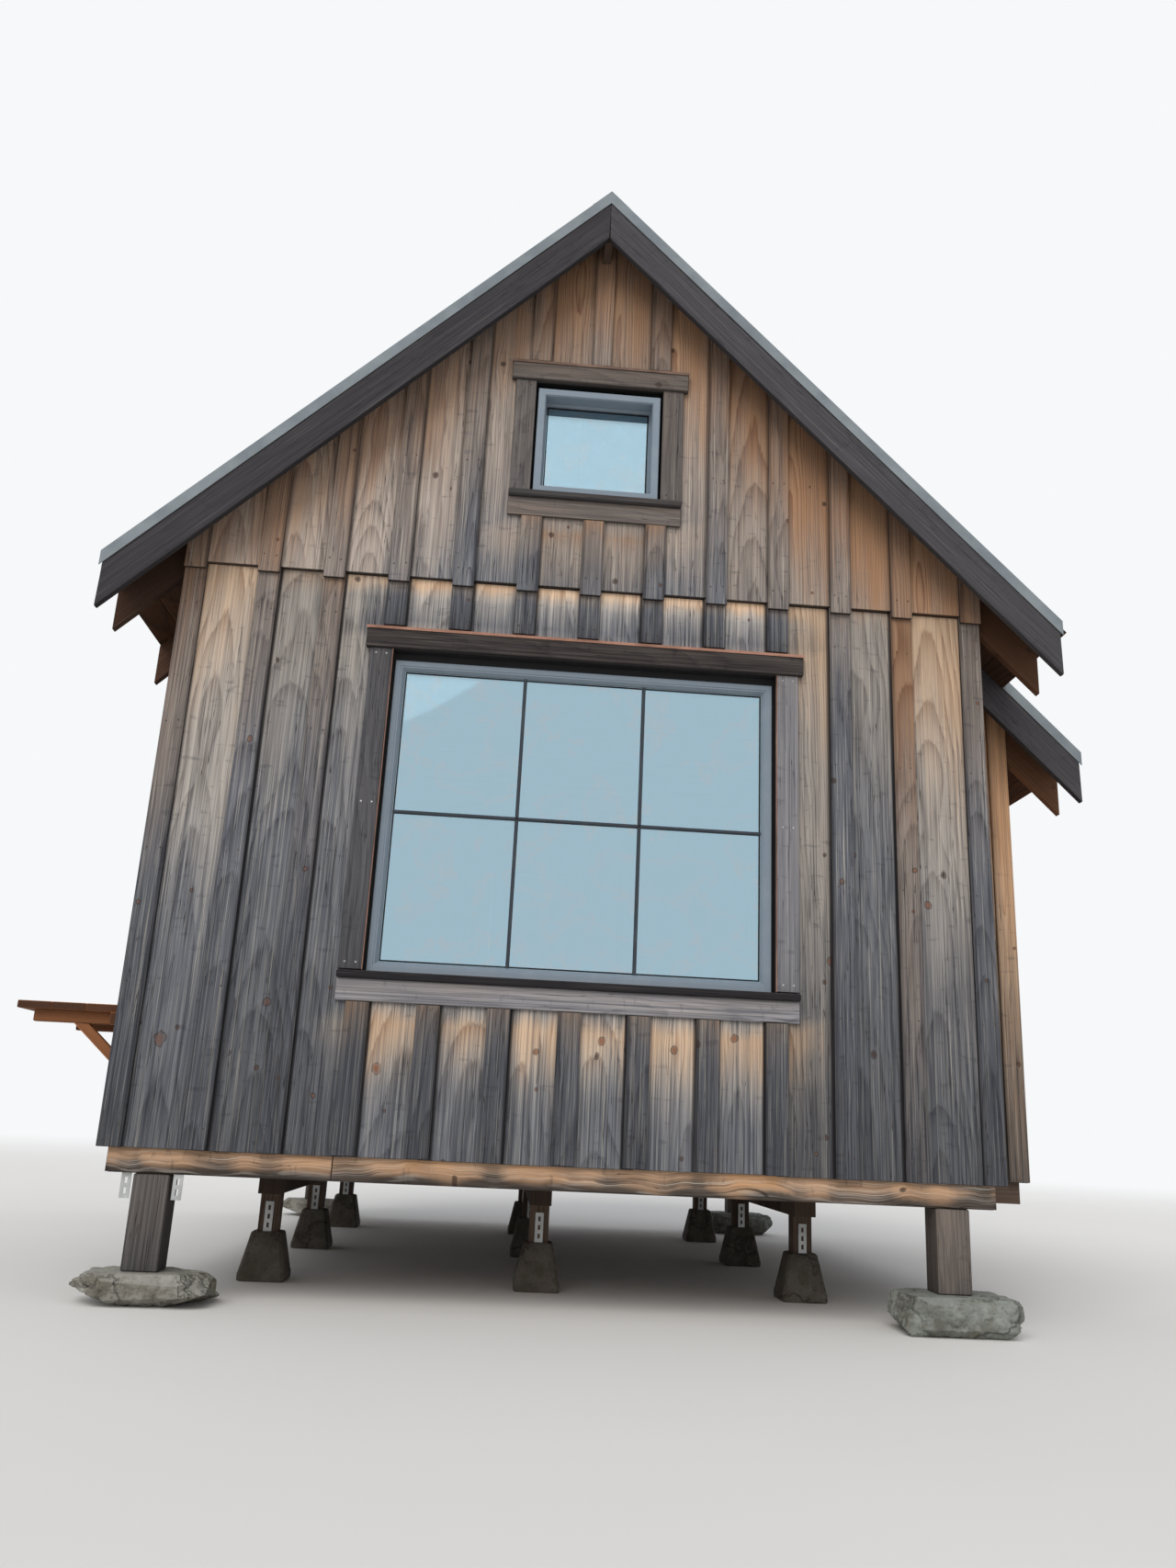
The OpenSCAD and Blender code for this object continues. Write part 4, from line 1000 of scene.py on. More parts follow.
def window_unit(frames, gaskets_and_shade, bars, wall, window, lights, step):
    """Fixed frame, inner sash, bars, spacer and weather strips of one window, and black sheets of painted
    shade in its reveal. lights is how many panes it seems to have across and up."""
    half, foot, height = window
    top = foot + height
    mitred_ring(frames, wall, half, foot, top, FRAME_PROFILE, -FRAME_BACK)
    mitred_ring(frames, wall, half - SASH_IN, foot + SASH_IN, top - SASH_IN, SASH_PROFILE, -FRAME_BACK)
    mitred_ring(gaskets_and_shade, wall, half + SEAL_OUT, foot, top + SEAL_OUT, SEAL_PROFILE, -FRAME_BACK)
    wide, tall = half + JAMB_GAP, height + HEAD_GAP
    # Black liners round the opening and a black filler over the frame: painted shade in the reveal
    for x, z, w, h in ((-wide, foot, LINER_T, tall), (wide - LINER_T, foot, LINER_T, tall),
                       (-wide, foot + tall - LINER_T, 2 * wide, LINER_T)):
        wall.plate(gaskets_and_shade, x, step - BOARD, z, w, h, -FRAME_BACK - step)
    wall.plate(gaskets_and_shade, -wide, -FRAME_BACK - FILLER_IN, top + CLEAR, 2 * wide, HEAD_GAP - 2 * CLEAR,
               -FILLER_T)
    face = -FRAME_BACK - (FRAME_D - GLASS_T) / 2
    mitred_ring(gaskets_and_shade, wall, half - GLASS_IN, foot + GLASS_IN, top - GLASS_IN, BEAD_PROFILE, face)
    left, low = GLASS_IN - half, foot + GLASS_IN
    wide, tall = -2 * left, height - 2 * GLASS_IN
    across, up = lights
    for out, way in ((face + CLEAR, wall.n), (face - GLASS_T - CLEAR, -wall.n)):
        for k in range(1, across):
            x = left + wide * k / across - BAR_W / 2
            bars.prism(wall.place(x, out, low), wall.u, way, Z * tall, BAR_PROFILE)
        for k in range(1, up):
            z = low + tall * k / up - BAR_W / 2
            bars.prism(wall.place(left, out, z), Z, way, wall.u * wide, BAR_PROFILE)


def window_trim(m, name, wall, window, step, seed, tones):
    """Casings, apron, sill and head board under a bent flashing. tones are those of the side casings."""
    half, foot, height = window
    large = height == BIG[2]
    looks, slots, nodes, apron_light, gaps = LARGE_TRIM if large else SMALL_TRIM
    casing, sill, head, flashing, nail = (m[look] for look in looks)
    x = half + JAMB_GAP
    wide = x + CASING
    reach = wide + HEAD_OUT
    back, low, high = step - BOARD, foot - SILL_H, foot + height + HEAD_GAP

    boards = Timbers(seed)
    for a, light in zip((-wide, x), tones):
        boards.upright(wall, a, back, CASING, BOARD, foot, high, 0.05, step=SIDING_STEP,
                       look=boards.look(0.15, light))
    boards.level(wall, -wide, back, low - APRON_H, 2 * wide, APRON_H, BOARD,
                 look=boards.look(-0.25, apron_light))
    boards.make(name + "_casings", casing, slots[0], nodes[:1])
    nosing = Timbers(seed + 1)
    nosing.board(wall.place(-wide, back, low), wall.u, wall.n, Z, SILL_STEP + BOARD, SILL_H - 0.006, 0,
                 2 * wide, wall.cover, 0.2, chamfer=0.004)
    nosing.make(name + "_sill", sill, slots[0], nodes[:1])
    board = Timbers(seed + 2)
    board.level(wall, -reach, back, high, 2 * reach, HEAD_H, BOARD + HEAD_STEP, 0.1, chamfer=0.003)
    board.make(name + "_head", head, slots[1], nodes[1:])

    cap = Solids()
    t, lip, out = 0.0016, 0.010, BOARD + HEAD_STEP + 0.005
    bend = [(0.0, FLASHING_H), (0.0, 0.0005), (out - t, 0.0003), (out - t, -lip), (out, -lip), (out, 0.003),
            (t, 0.006), (t, FLASHING_H)]
    cap.prism(wall.place(-reach - 0.004, back, high + HEAD_H), wall.n, Z, wall.u * (2 * reach + 0.008), bend)
    if large:
        strip, deep, lip = 0.0022, 0.018, 0.0012
        for a in (-x, x - strip):
            cap.prism(wall.place(a, step - deep, foot), wall.u, wall.n, Z * (high - foot),
                      section(strip, deep + lip))
    cap.make(name + "_flashing", flashing, "flashing")
    nails = Solids()
    for a in (-wide, x):
        for k in range(gaps + 1):
            z = foot + 0.03 + k * (height - 0.02) / gaps
            for side in (NAIL_SIDE, CASING - NAIL_SIDE):
                nails.disc(wall.place(a + side, step - CASING_NAIL_IN, z), wall.n, CASING_NAIL_R, NAIL_H)
    nails.make(name + "_nails", nail, "galvanised")


def dress_windows(m):
    front = Wall(at(0, FRONT, 0), X, -Y, flat(APEX), reach=1.5, shade=0.9)
    left = Wall(at(-HALF_W, 0, 0), -Y, -X, flat(APEX), reach=1.5, shade=0.9)
    rear = Wall(at(0, REAR, 0), -X, Y, flat(APEX), reach=1.2, shade=0.8)
    bay = Wall(at(BAY_X, 0, 0), Y, X, flat(BAY_TOP), reach=1.5, shade=0.0)
    # Name, wall, size and place, lights across and up, step out, seed, and tones of the two side casings
    large = (("front_window", front, BIG, (3, 2), 0.0, 61, (-0.54, 0.48)),
             ("left_window", left, LEFT_BIG, (2, 2), 0.0, 64, (0.5, 0.6)))
    small = (("front_gable_window", front, GABLE_SMALL, (1, 1), COURSE_STEP, 67, (0.5, 0.5)),
             ("rear_gable_window", rear, GABLE_SMALL, (1, 1), COURSE_STEP, 70, (0.5, 0.5)),
             ("bay_window", bay, BAY_SMALL, (1, 1), 0.0, 73, (0.5, 0.5)))
    for size, windows in (("large", large), ("small", small)):
        frames, gaskets_and_shade, bars = Solids(), Solids(), Solids()
        for _, wall, window, lights, step, _, _ in windows:
            window_unit(frames, gaskets_and_shade, bars, wall, window, lights, step)
        frames.make(size + "_frames", m["frame"], "window_frame", (size + "_window_frames",))
        gaskets_and_shade.make(size + "_gaskets_and_shade", m["gasket_and_shade"], "window_frame")
        if bars.verts:
            bars.make(size + "_window_bars", m["bar"], "window_frame")
    flanges = Solids()
    for _, wall, (half, foot, height), _, step, _, _ in small:
        w, fore = FLANGE_W, FRAME_BACK + step - FLANGE_SHY
        profile = [(0, 0), (w, 0), (w, fore - 0.008), (w - 0.005, fore), (0.003, fore), (0, fore - 0.003)]
        mitred_ring(flanges, wall, half, foot, foot + height, profile, -FRAME_BACK)
    flanges.make("small_window_flanges", m["frame"], "window_frame")
    for name, wall, window, _, step, seed, tones in large + small:
        window_trim(m, name, wall, window, step, seed, tones)


# The door's planks and face, its strap hinges' outline and heights from its foot and head, and its pull
DOOR_PLANKS, PLANK_T, DOOR_FACE = 6, 0.034, -SKIN - 0.010
HINGE = [(0, 0), (0.46, 0.012), (0.49, 0.022), (0.46, 0.032), (0, 0.044)]
HINGE_LOW, HINGE_HIGH = 0.28, 0.32
PULL_IN, PULL_UP, PULL_W, PULL_H = 0.075, 0.92, 0.036, 0.20


def dress_door(m):
    """A plank door in the rear gable, with strap hinges and a pull."""
    low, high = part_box("rear_door")
    left, right = (low.x - high.x) / 2, (high.x - low.x) / 2
    wall = Wall(at(0, REAR, 0), -X, Y, flat(APEX), reach=2.0, shade=0.4)
    planks = Timbers(71)
    wide = (right - left) / DOOR_PLANKS
    for k in range(DOOR_PLANKS):
        planks.upright(wall, left + k * wide + SEAM, DOOR_FACE - PLANK_T, wide - 2 * SEAM, PLANK_T,
                       low.z, high.z, chamfer=0.003, step=0.2)
    planks.make("door_leaf", m["door"], "door_wood", ("rear_door",))

    iron = Solids()
    for z in (low.z + HINGE_LOW, high.z - HINGE_HIGH):
        iron.prism(wall.place(left + 0.01, DOOR_FACE, z), wall.u, Z, wall.n * 0.004, HINGE)
        for k in range(4):
            place = wall.place(left + 0.06 + 0.11 * k, DOOR_FACE + 0.003, z + 0.022)
            iron.disc(place, wall.n, 0.006, 0.004)
    pull(iron, wall, right - PULL_IN, low.z + PULL_UP)
    iron.make("door_iron", m["iron"], "galvanised")
    door_casings(m, wall)


def pull(iron, wall, x, z):
    """A back plate with two feet and a flat grip, from its low left corner."""
    wall.plate(iron, x, DOOR_FACE, z, PULL_W, PULL_H, 0.003, 0.006)
    for rise in (0.03, 0.155):
        wall.plate(iron, x + 0.011, DOOR_FACE, z + rise, 0.014, 0.015, 0.034, 0.003)
    iron.prism(wall.place(x + 0.010, DOOR_FACE + 0.030, z + 0.022), wall.u, wall.n, Z * 0.156,
               section(0.016, 0.007, 0.002))


def door_casings(m, wall):
    """Boards to each side of the door, over it, and under its sill."""
    trim = Timbers(73)
    low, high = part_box("rear_door_trim")
    half, head = (high.x - low.x) / 2, high.z - CASING
    for x in (-half, half - CASING):
        trim.upright(wall, x, -BOARD, CASING, BOARD, low.z, head, 0.05)
    trim.level(wall, -half, -BOARD, head, 2 * half, CASING, BOARD, 0.05)
    inner = half - CASING - 2 * SEAM
    trim.level(wall, -inner, -BOARD, low.z, 2 * inner, FLOOR - low.z - 2 * SEAM, BOARD, 0.1)
    trim.make("door_casings", m["trim"], "weathered_siding", ("rear_door_trim",))


# Roof. Sizes that end in V are measured plumb.

DECK_V = 0.025 / COS
SHEET_V, SHEET_T = 0.0052, 0.0012
SOLID_SHEET_V, SOLID_RIB_V = 0.00566, 0.0226
RIB_PITCH, RIB_W, RIB_TOP, RIB_H = 0.229, 0.030, 0.016, 0.0155
SHEET_OUT, RAKE_OUT = 0.009, 0.01
DECK_BOARD, DECK_T = 0.1425, 0.0235
BARGE_T = 0.036
RIDGE_HALF = 0.012

# Roof screws: how far beside a rib, down from the ridge and up from the eave, and about how far apart
SCREW_SIDE, SCREW_TOP, SCREW_FOOT, SCREW_GAP = 0.030, 0.22, 0.08, 0.6

# The small stiffening ribs between two main ones: places and heights of their corners
SMALL_RIB = ((-0.010, 0), (-0.005, 0.0028), (0.005, 0.0028), (0.010, 0))

# Places of the main ribs from the middle of the roof, of those over the bay, and of one over a barge board
RIBS_A_SIDE = int((ROOF_Y - 0.06) / RIB_PITCH)
RIBS = [k * RIB_PITCH for k in range(-RIBS_A_SIDE, RIBS_A_SIDE + 1)]
BAY_RIBS = [r for r in RIBS if abs(r) < BAY_ROOF_Y - 0.05]
EDGE_RIB = ROOF_Y - 0.016


def slope_axes(side):
    """Directions down the slope and square to it, for the right side (1) or the left one (-1)."""
    return Vector((side * COS, 0, -SIN)), Vector((side * SIN, 0, COS))


def barge(timbers, side, y, way, x0, x1):
    """A board along the roof's edge, cut plumb at both ends."""
    down, up = slope_axes(side)
    timbers.board(at(0, y, APEX), down, up, way, RAFTER_V * COS, BARGE_T, lambda b, z: (x0 - b * SIN) / COS,
                  lambda b, z: (x1 - b * SIN) / COS, chamfer=0.003, step=0.3)


def dress_barges(m):
    for tag, sign in (("front", -1), ("rear", 1)):
        boards = Timbers(81 + sign)
        for side in (-1, 1):
            barge(boards, side, sign * (ROOF_Y - BARGE_T - SEAM), Y * sign, CLEAR, EAVE_X)
        boards.make(tag + "_barge_boards", m["barge"], "dark_boards", ("barge_boards",))
        boards = Timbers(85 + sign)
        barge(boards, 1, sign * (BAY_ROOF_Y - BARGE_T - SEAM), Y * sign, HALF_W, BAY_EAVE_X)
        boards.make(tag + "_bay_barge", m["barge"], "dark_boards", ("bay_barge_boards",))


def down_slope(solids, side, x0, x1, profile):
    """An outline of places in Y and heights over the rafters, run down a slope with plumb ends."""
    verts = [at(side * x, y, roof_low(x) + h) for x in (x0, x1) for y, h in profile]
    solids.add(verts, skin(2, len(profile), area(profile) * side > 0))


def roofing(solids, side, y0, y1, x1, ribs):
    """Ribbed sheets from the ridge to x1, whose lower face lies SHEET_V over the boards."""
    rise = ((-RIB_W / 2, 0), (-RIB_TOP / 2, RIB_H), (RIB_TOP / 2, RIB_H), (RIB_W / 2, 0))
    points = [(y0, 0.0), (y1, 0.0)]
    for c in ribs:
        points += [(c + dy, h) for dy, h in rise if y0 < c + dy < y1]
        for third in (1, 2):
            middle = c + third * RIB_PITCH / 3
            points += [(middle + dy, h) for dy, h in SMALL_RIB if y0 < middle + dy < y1]
    points.sort()
    outline = points + [(y, h - SHEET_T) for y, h in reversed(points)]
    down_slope(solids, side, 0.03, x1, [(y, DECK_V + SHEET_V + h / COS) for y, h in outline])


def dress_roofing(m):
    """Ribbed roofing: one sheet on the left, and on the right one that runs out over the bay between two."""
    end_ribs = [r for r in RIBS if r > BAY_ROOF_Y + 0.02] + [EDGE_RIB]
    edge, eave = ROOF_Y - SEAM, EAVE_X + SHEET_OUT
    left, right = Solids(), Solids()
    roofing(left, -1, -edge, edge, eave, RIBS + [-EDGE_RIB, EDGE_RIB])
    roofing(right, 1, -BAY_ROOF_Y, BAY_ROOF_Y, BAY_EAVE_X + SHEET_OUT, BAY_RIBS)
    roofing(right, 1, -edge, -BAY_ROOF_Y, eave, [-r for r in end_ribs])
    roofing(right, 1, BAY_ROOF_Y, edge, eave, end_ribs)
    left.make("left_roofing", m["ribbed"], "roof_metal", ("left_roof_metal",))
    right.make("right_roofing", m["ribbed"], "roof_metal", ("right_roof_metal",))


def dress_screws(m):
    """Screws with washers, in rows down the roofing beside each rib."""
    screws = Solids()
    lift = (DECK_V + RAFTER_V + SHEET_V) * COS
    for side in (-1, 1):
        down, up = slope_axes(side)
        for y in RIBS:
            far = BAY_EAVE_X if side == 1 and y in BAY_RIBS else EAVE_X
            total = (far - lift * SIN) / COS
            rows = max(2, round(total / SCREW_GAP))
            for k in range(rows + 1):
                t = SCREW_TOP + (total - SCREW_TOP - SCREW_FOOT) * k / rows
                spot = at(0, y + SCREW_SIDE, APEX) + up * lift + down * t
                screws.disc(spot, up, 0.0085, 0.0018)
                screws.disc(spot + up * 0.0018, up, 0.0045, 0.004, 6)
    screws.make("roof_screws", m["zinc"], "roof_metal")


def dress_ridge(m):
    """The folded ridge cap, in two lengths of which the rear one laps under the front one."""
    cap = Solids()
    top = DECK_V + RAFTER_V + SOLID_SHEET_V + SOLID_RIB_V + 0.0100
    wing, fold, t, lap = 0.130 * COS, 0.014, 0.0028, 0.06
    low = top - wing * SLOPE
    right = [(wing, low), (wing, low - fold), (wing - t, low - fold), (wing - t, low - t + 0.001)]
    outline = [(0, top)] + right + [(0, top - t)] + [(-x, z) for x, z in reversed(right)]
    for k in (0, 1):
        shape = [(x, z - 0.0012 * k) for x, z in outline]
        cap.prism(at(0, (k - 1) * ROOF_Y - lap * k, APEX), X, Z, Y * (ROOF_Y + lap * k), shape)
    cap.make("ridge_capping", m["roof"], "roof_metal", ("ridge_cap",))


def dress_edges(m):
    """Folded metal over the roof's edges at the gables."""
    edges = Solids()
    end, bay_end = EAVE_X + RAKE_OUT, BAY_EAVE_X + RAKE_OUT
    for sign in (-1, 1):
        rake(edges, -1, sign, 0.0, end, ROOF_Y)
        rake(edges, 1, sign, 0.0, end, ROOF_Y)
        rake(edges, 1, sign, end, bay_end, BAY_ROOF_Y)
    edges.make("gable_edge_trim", m["roof"], "roof_metal", ("gable_edges",))


def rake(solids, side, sign, x0, x1, y):
    """Bent metal over the cut edge of the roof."""
    t, wide = 0.003, 0.062
    high = DECK_V + SOLID_SHEET_V + SOLID_RIB_V + 0.0048
    profile = [(y - 0.004, 0.004), (y + 0.0015, 0.0), (y + 0.0035, 0.002), (y + 0.0035, high),
               (y - wide, high), (y - wide, high - 0.004), (y - wide + t, high - t), (y + 0.0005, high - t),
               (y + 0.0005, 0.006), (y - 0.004, 0.008)]
    down_slope(solids, side, x0, x1, [(sign * py, h) for py, h in profile])


def dress_decks(m):
    """Roof boards, seen from below at the eaves and gables."""
    lift = RAFTER_V * COS
    for tag, side, end in (("left", -1, EAVE_X), ("right", 1, BAY_EAVE_X)):
        boards = Timbers(90 + side)
        down, up = slope_axes(side)
        t = (RIDGE_HALF - lift * SIN) / COS
        last = (end - lift * SIN) / COS - SEAM
        while t < last - 0.02:
            width = min(DECK_BOARD, last - t)
            past_eave = (t + width) * COS + lift * SIN > EAVE_X + 0.02
            reach = (BAY_ROOF_Y if past_eave else ROOF_Y) - CLEAR
            base = at(0, 0, APEX) + up * (lift + CLEAR) + down * (t + SEAM)
            plumb = lambda s, y, z, w=width: (-z * SLOPE if y > w / 2 else 0.0, 0.0)
            boards.board(base, Y, down, up, width - 2 * SEAM, DECK_T, -reach, reach, step=0.8,
                         chamfer=0.002, edge=plumb if t + width > last - SEAM else None)
            t += width
        boards.make(tag + "_roof_boards", m["soffit"], "framing", (tag + "_roof_deck",))


# Floor, posts, stones and shelf

# How wide the rim's bark edge is, and where along the rim its two boards meet
WANE = 0.046
SPLICE = 0.245


def wane(seed, width, thick):
    """A bark edge along a board's lower front arris, in long waves with small nibbles."""
    def edge(t, y, z):
        slow = noise.noise(Vector((t * 2.3, seed, 0.0)))
        small = noise.noise(Vector((t * 9.0, seed, 4.0)))
        size = max(0.006, WANE * (0.72 + slow * 1.1 + small * 0.5))
        if y < width / 2 and z > thick - 0.001:
            return size, 0.0
        if y < 0.001 and z > thick / 2:
            return 0.004 + 0.35 * max(0.0, size - WANE * 0.5), -0.45 * size
        return 0.0, 0.0
    return edge


def dress_floor(m):
    """The front rim, spliced from two boards with a bark edge."""
    low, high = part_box("front_rim")
    height, thick = high.z - low.z, high.y - low.y - SEAM

    def rim_cover(p):
        patch = noise.noise(Vector((p.x * 6.0, 2.0, 5.0)))
        return 0.15 + (1.25 + 0.8 * patch) * clamp((low.z + 0.058 - p.z) / 0.036), 0.0

    rim = Timbers(101)
    splice = low.x + (high.x - low.x) * SPLICE
    for x0, x1, seed in ((low.x, splice - SEAM, 1), (splice + SEAM, high.x, 2)):
        rim.board(Vector((0, high.y, low.z)), X, Z, -Y, height, thick, x0, x1, rim_cover, -0.05, step=0.03,
                  edge=wane(seed, height, thick), look=rim.look(0.0, 0.75))
    rim.make("front_rim_boards", m["rim"], "rim_timber", ("front_rim",))


def dress_posts(m):
    """The corner posts, which are half sheltered and damp at the foot. The left ones are greyer."""
    posts = Timbers(103)
    damp = lambda p: (0.6, 0.6 - 0.6 * clamp((p.z - 0.1) / 0.3))
    for sx, own, light in ((-1, 0.4, 0.0), (1, 0.05, 0.34)):
        for sy in (-1, 1):
            corner = at(sx * POST_X - POST / 2, sy * POST_Y + POST / 2, 0)
            posts.board(corner, Z, X, -Y, POST, POST, STONE_TOPS[sx] + CLEAR, posts_box[1].z - CLEAR,
                        damp, -0.1, chamfer=0.005, step=0.08, look=posts.look(own, light))
    posts.make("corner_post_timbers", m["post"], "posts", ("corner_posts",))


def strap_plate(solids, centre, n, height, slots):
    """A plate with upright slots: strips beside the slots and bridges between them."""
    slot_w, slot_h = STRAP_W * 0.3, height / (slots * 2 + 1) * 1.15
    side = (STRAP_W - slot_w) / 2
    for a in (-STRAP_W / 2, STRAP_W / 2 - side):
        solids.prism(centre + X * a, X, n, Z * height, section(side, STRAP_T))
    gap = (height - slots * slot_h) / (slots + 1)
    for k in range(slots + 1):
        corner = centre + X * (-slot_w / 2) + Z * (k * (gap + slot_h))
        solids.prism(corner, X, n, Z * gap, section(slot_w, STRAP_T))


def dress_straps(m):
    """Straps beside the left posts, and one on the front of each pier's post."""
    plates = Solids()
    rim_y = abs(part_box("front_rim")[1].y)
    off = POST / 2 + STRAP_GAP + STRAP_W / 2
    for sign in (-1, 1):
        for side in (-1, 1):
            place = at(-POST_X + side * off, sign * rim_y, RIM_LOW - STRAP_LOW)
            strap_plate(plates, place, Y * -sign, STRAP_H, 4)
    low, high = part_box("pier_posts")
    for x in three(low.x, high.x, PIER_POST):
        for y in three(low.y, high.y, PIER_POST):
            strap_plate(plates, Vector((x, y - PIER_POST / 2, low.z)), -Y, PIER_STRAP_H, 3)
    plates.make("slotted_straps", m["zinc"], "galvanised", ("post_straps",))


# Planes that cut each kind of stone out of its block: direction, and distance from the middle. The left
# kind is a slab that runs out to a point, the right one a lump with a stepped end.
LEFT_CUTS = (((-0.95, -0.12, 0.30), 1.00), ((-0.83, -0.10, -0.56), 0.74), ((-0.74, -0.66, 0.10), 1.02),
             ((-0.66, 0.70, 0.10), 0.92), ((0.90, -0.25, 0.30), 1.04), ((0.82, -0.20, -0.52), 1.04),
             ((0.10, -0.86, 0.50), 1.12), ((0.15, -0.80, -0.58), 1.08), ((0.70, 0.60, 0.30), 1.08))
RIGHT_CUTS = (((0.96, -0.10, -0.28), 1.00), ((0.92, 0.05, 0.37), 1.12), ((-0.99, -0.10, 0.10), 0.97),
              ((-0.95, 0.10, -0.32), 1.07), ((0.05, -0.88, 0.48), 1.16), ((0.0, -0.88, -0.47), 1.16),
              ((-0.75, -0.66, 0.05), 1.17), ((0.78, -0.62, 0.05), 1.20), ((0.70, 0.70, 0.10), 1.15),
              ((-0.70, 0.70, 0.10), 1.15))

# How many squares a stone's block has along each edge, and the level ground round the post's foot
STONE_GRID = 44
POST_SEAT, SEAT_FADE = 0.105, 0.05


def dress_stones(m):
    kinds = (-1, LEFT_CUTS, 0.0, "stone"), (1, RIGHT_CUTS, RIGHT_STONE_OUT, "shady_stone")
    for sx, cuts, shift, look in kinds:
        for sy in (-1, 1):
            seed = (sx + 1) + (sy + 1) // 2
            half = Vector((STONE_HALF[sx], STONE_HALF_W, STONE_TOPS[sx] / 2))
            verts, faces = stone(at(sx * POST_X + shift, sy * POST_Y, 0), half, -shift, cuts, seed)
            piece("stone_%d" % seed, verts, faces, m[look], ("corner_stones",), smooth=True)


def broken(p, half, post_x, cuts, seed):
    """Moves a point of the block from -1 to 1 onto the stone's split and roughened face."""
    p *= 1 - 0.03 * (abs(p.x) ** 8 + abs(p.y) ** 8 + abs(p.z) ** 8 - 1)
    for direction, far in cuts:
        n = Vector(direction).normalized()
        p -= n * max(0.0, p.dot(n) - far)
    spot = Vector((p.x * half.x * 9, p.y * half.y * 9, p.z * half.z * 6 + seed * 7.7))
    rough = 0.5 + 0.5 * noise.fractal(spot * 1.6, 0.8, 2.2, 6)
    ridge = 1 - abs(noise.noise(spot * 1.1 + Vector((4, 2, 9)))) * 2
    grit = noise.fractal(spot * 8.0, 0.8, 2.1, 4)
    depth = 0.07 * clamp(rough) + 0.07 * clamp(ridge) ** 6 + 0.045 * clamp(grit)
    free = 1.0
    if p.z > 0.6:
        free = clamp((math.hypot(p.x * half.x - post_x, p.y * half.y) - POST_SEAT) / SEAT_FADE)
    p -= p.normalized() * depth * free
    p.z += (1 - p.z) * (1 - free)
    return p


def stone(centre, half, post_x, cuts, seed):
    """A split lump: a block cut by slanting planes, then roughened, but level round the post's foot."""
    index, shape, faces = {}, [], []

    def corner(key):
        if key not in index:
            index[key] = len(shape)
            shape.append(broken(Vector([2 * c / STONE_GRID - 1 for c in key]), half, post_x, cuts, seed))
        return index[key]

    for axis in range(3):
        for end in (0, STONE_GRID):
            for i in range(STONE_GRID):
                for j in range(STONE_GRID):
                    quad = []
                    for di, dj in ((0, 0), (1, 0), (1, 1), (0, 1)):
                        key = [i + di, j + dj]
                        key.insert(axis, end)
                        quad.append(corner(tuple(key)))
                    if (end == STONE_GRID) == (axis == 1):
                        quad.reverse()
                    faces.append(tuple(quad))
    lowest = min(p.z for p in shape)
    verts = [centre + Vector((clamp(p.x, -1, 1) * half.x, clamp(p.y, -1, 1) * half.y,
                              clamp((p.z - lowest) / (1 - lowest)) * 2 * half.z)) for p in shape]
    return verts, faces


def dress_piers(m):
    """Cast pier blocks with worn edges."""
    low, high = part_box("pier_blocks")
    levels = ((0.0, PIER_FOOT - 0.010), (0.006, PIER_FOOT), (0.036, PIER_FOOT), (0.042, PIER_FOOT - 0.006),
              (high.z - 0.006, PIER_CROWN + 0.002), (high.z, PIER_CROWN - 0.010))
    blocks = Solids()
    for x in three(low.x, high.x, PIER_FOOT):
        for y in three(low.y, high.y, PIER_FOOT):
            verts = [Vector((x - side / 2 + a, y - side / 2 + b, z))
                     for z, side in levels for a, b in section(side, side, 0.012)]
            blocks.add(verts, skin(len(levels), 8))
    blocks.make("cast_pier_blocks", m["concrete"], "pier_concrete", ("pier_blocks",))


# The shelf's top, rails and arms, which start a little in from its outer edge, and its braces
SHELF_BOARDS, SHELF_T = 3, 0.030
RAIL_H, RAIL_T, ARM_IN = 0.048, 0.035, 0.06
BRACE_W, BRACE_RUN, BRACE_DROP = 0.052, 0.184, 0.166
SHELF_AGE = -0.4


def dress_shelf(m):
    """The shelf on the left wall: boards on two braced arms, and a rail along the wall."""
    low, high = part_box("side_shelf")
    deep, long = high.x - low.x, high.y - low.y
    boards = Timbers(111)
    wide = deep / SHELF_BOARDS
    for k in range(SHELF_BOARDS):
        boards.board(Vector((low.x + k * wide + SEAM, low.y, high.z - SHELF_T)), Y, X, Z, wide - 2 * SEAM,
                     SHELF_T, 0, long, None, SHELF_AGE, chamfer=0.003, step=0.2)
    rail_z = high.z - SHELF_T - RAIL_H
    foot_z = rail_z - BRACE_DROP
    brace = Vector((-BRACE_RUN + BRACE_W / 2, 0, rail_z - foot_z - BRACE_W / 2))
    length, along = brace.length, brace.normalized()
    out = along.cross(Y)
    thick = BRACE_W * abs(along.x)
    begin = lambda b, z: -((z - thick / 2) * out.x) / along.x
    end = lambda b, z: length - ((z - thick / 2) * out.z) / along.z
    for y in (low.y + RAIL_T, high.y - 2 * RAIL_T):
        boards.board(Vector((low.x + ARM_IN, y, rail_z)), X, Y, Z, RAIL_T, RAIL_H - CLEAR, 0,
                     deep - ARM_IN, None, SHELF_AGE, chamfer=0.003)
        start = Vector((high.x, y, foot_z + BRACE_W / 2)) - out * thick / 2
        boards.board(start, along, Y, out, RAIL_T, thick, begin, end, None, SHELF_AGE, chamfer=0.003)
    inset = 2 * RAIL_T + SEAM
    rails = ((0.0, RAIL_T - SEAM, RAIL_T), (inset, long - inset, RAIL_T - SEAM),
             (long - RAIL_T + SEAM, long, RAIL_T - SEAM))
    for start, stop, width in rails:
        boards.board(Vector((high.x - RAIL_T, low.y, rail_z)), Y, X, Z, width, RAIL_H - SEAM, start, stop,
                     None, SHELF_AGE)
    boards.make("outside_shelf", m["shelf"], "shelf_wood", ("side_shelf",))


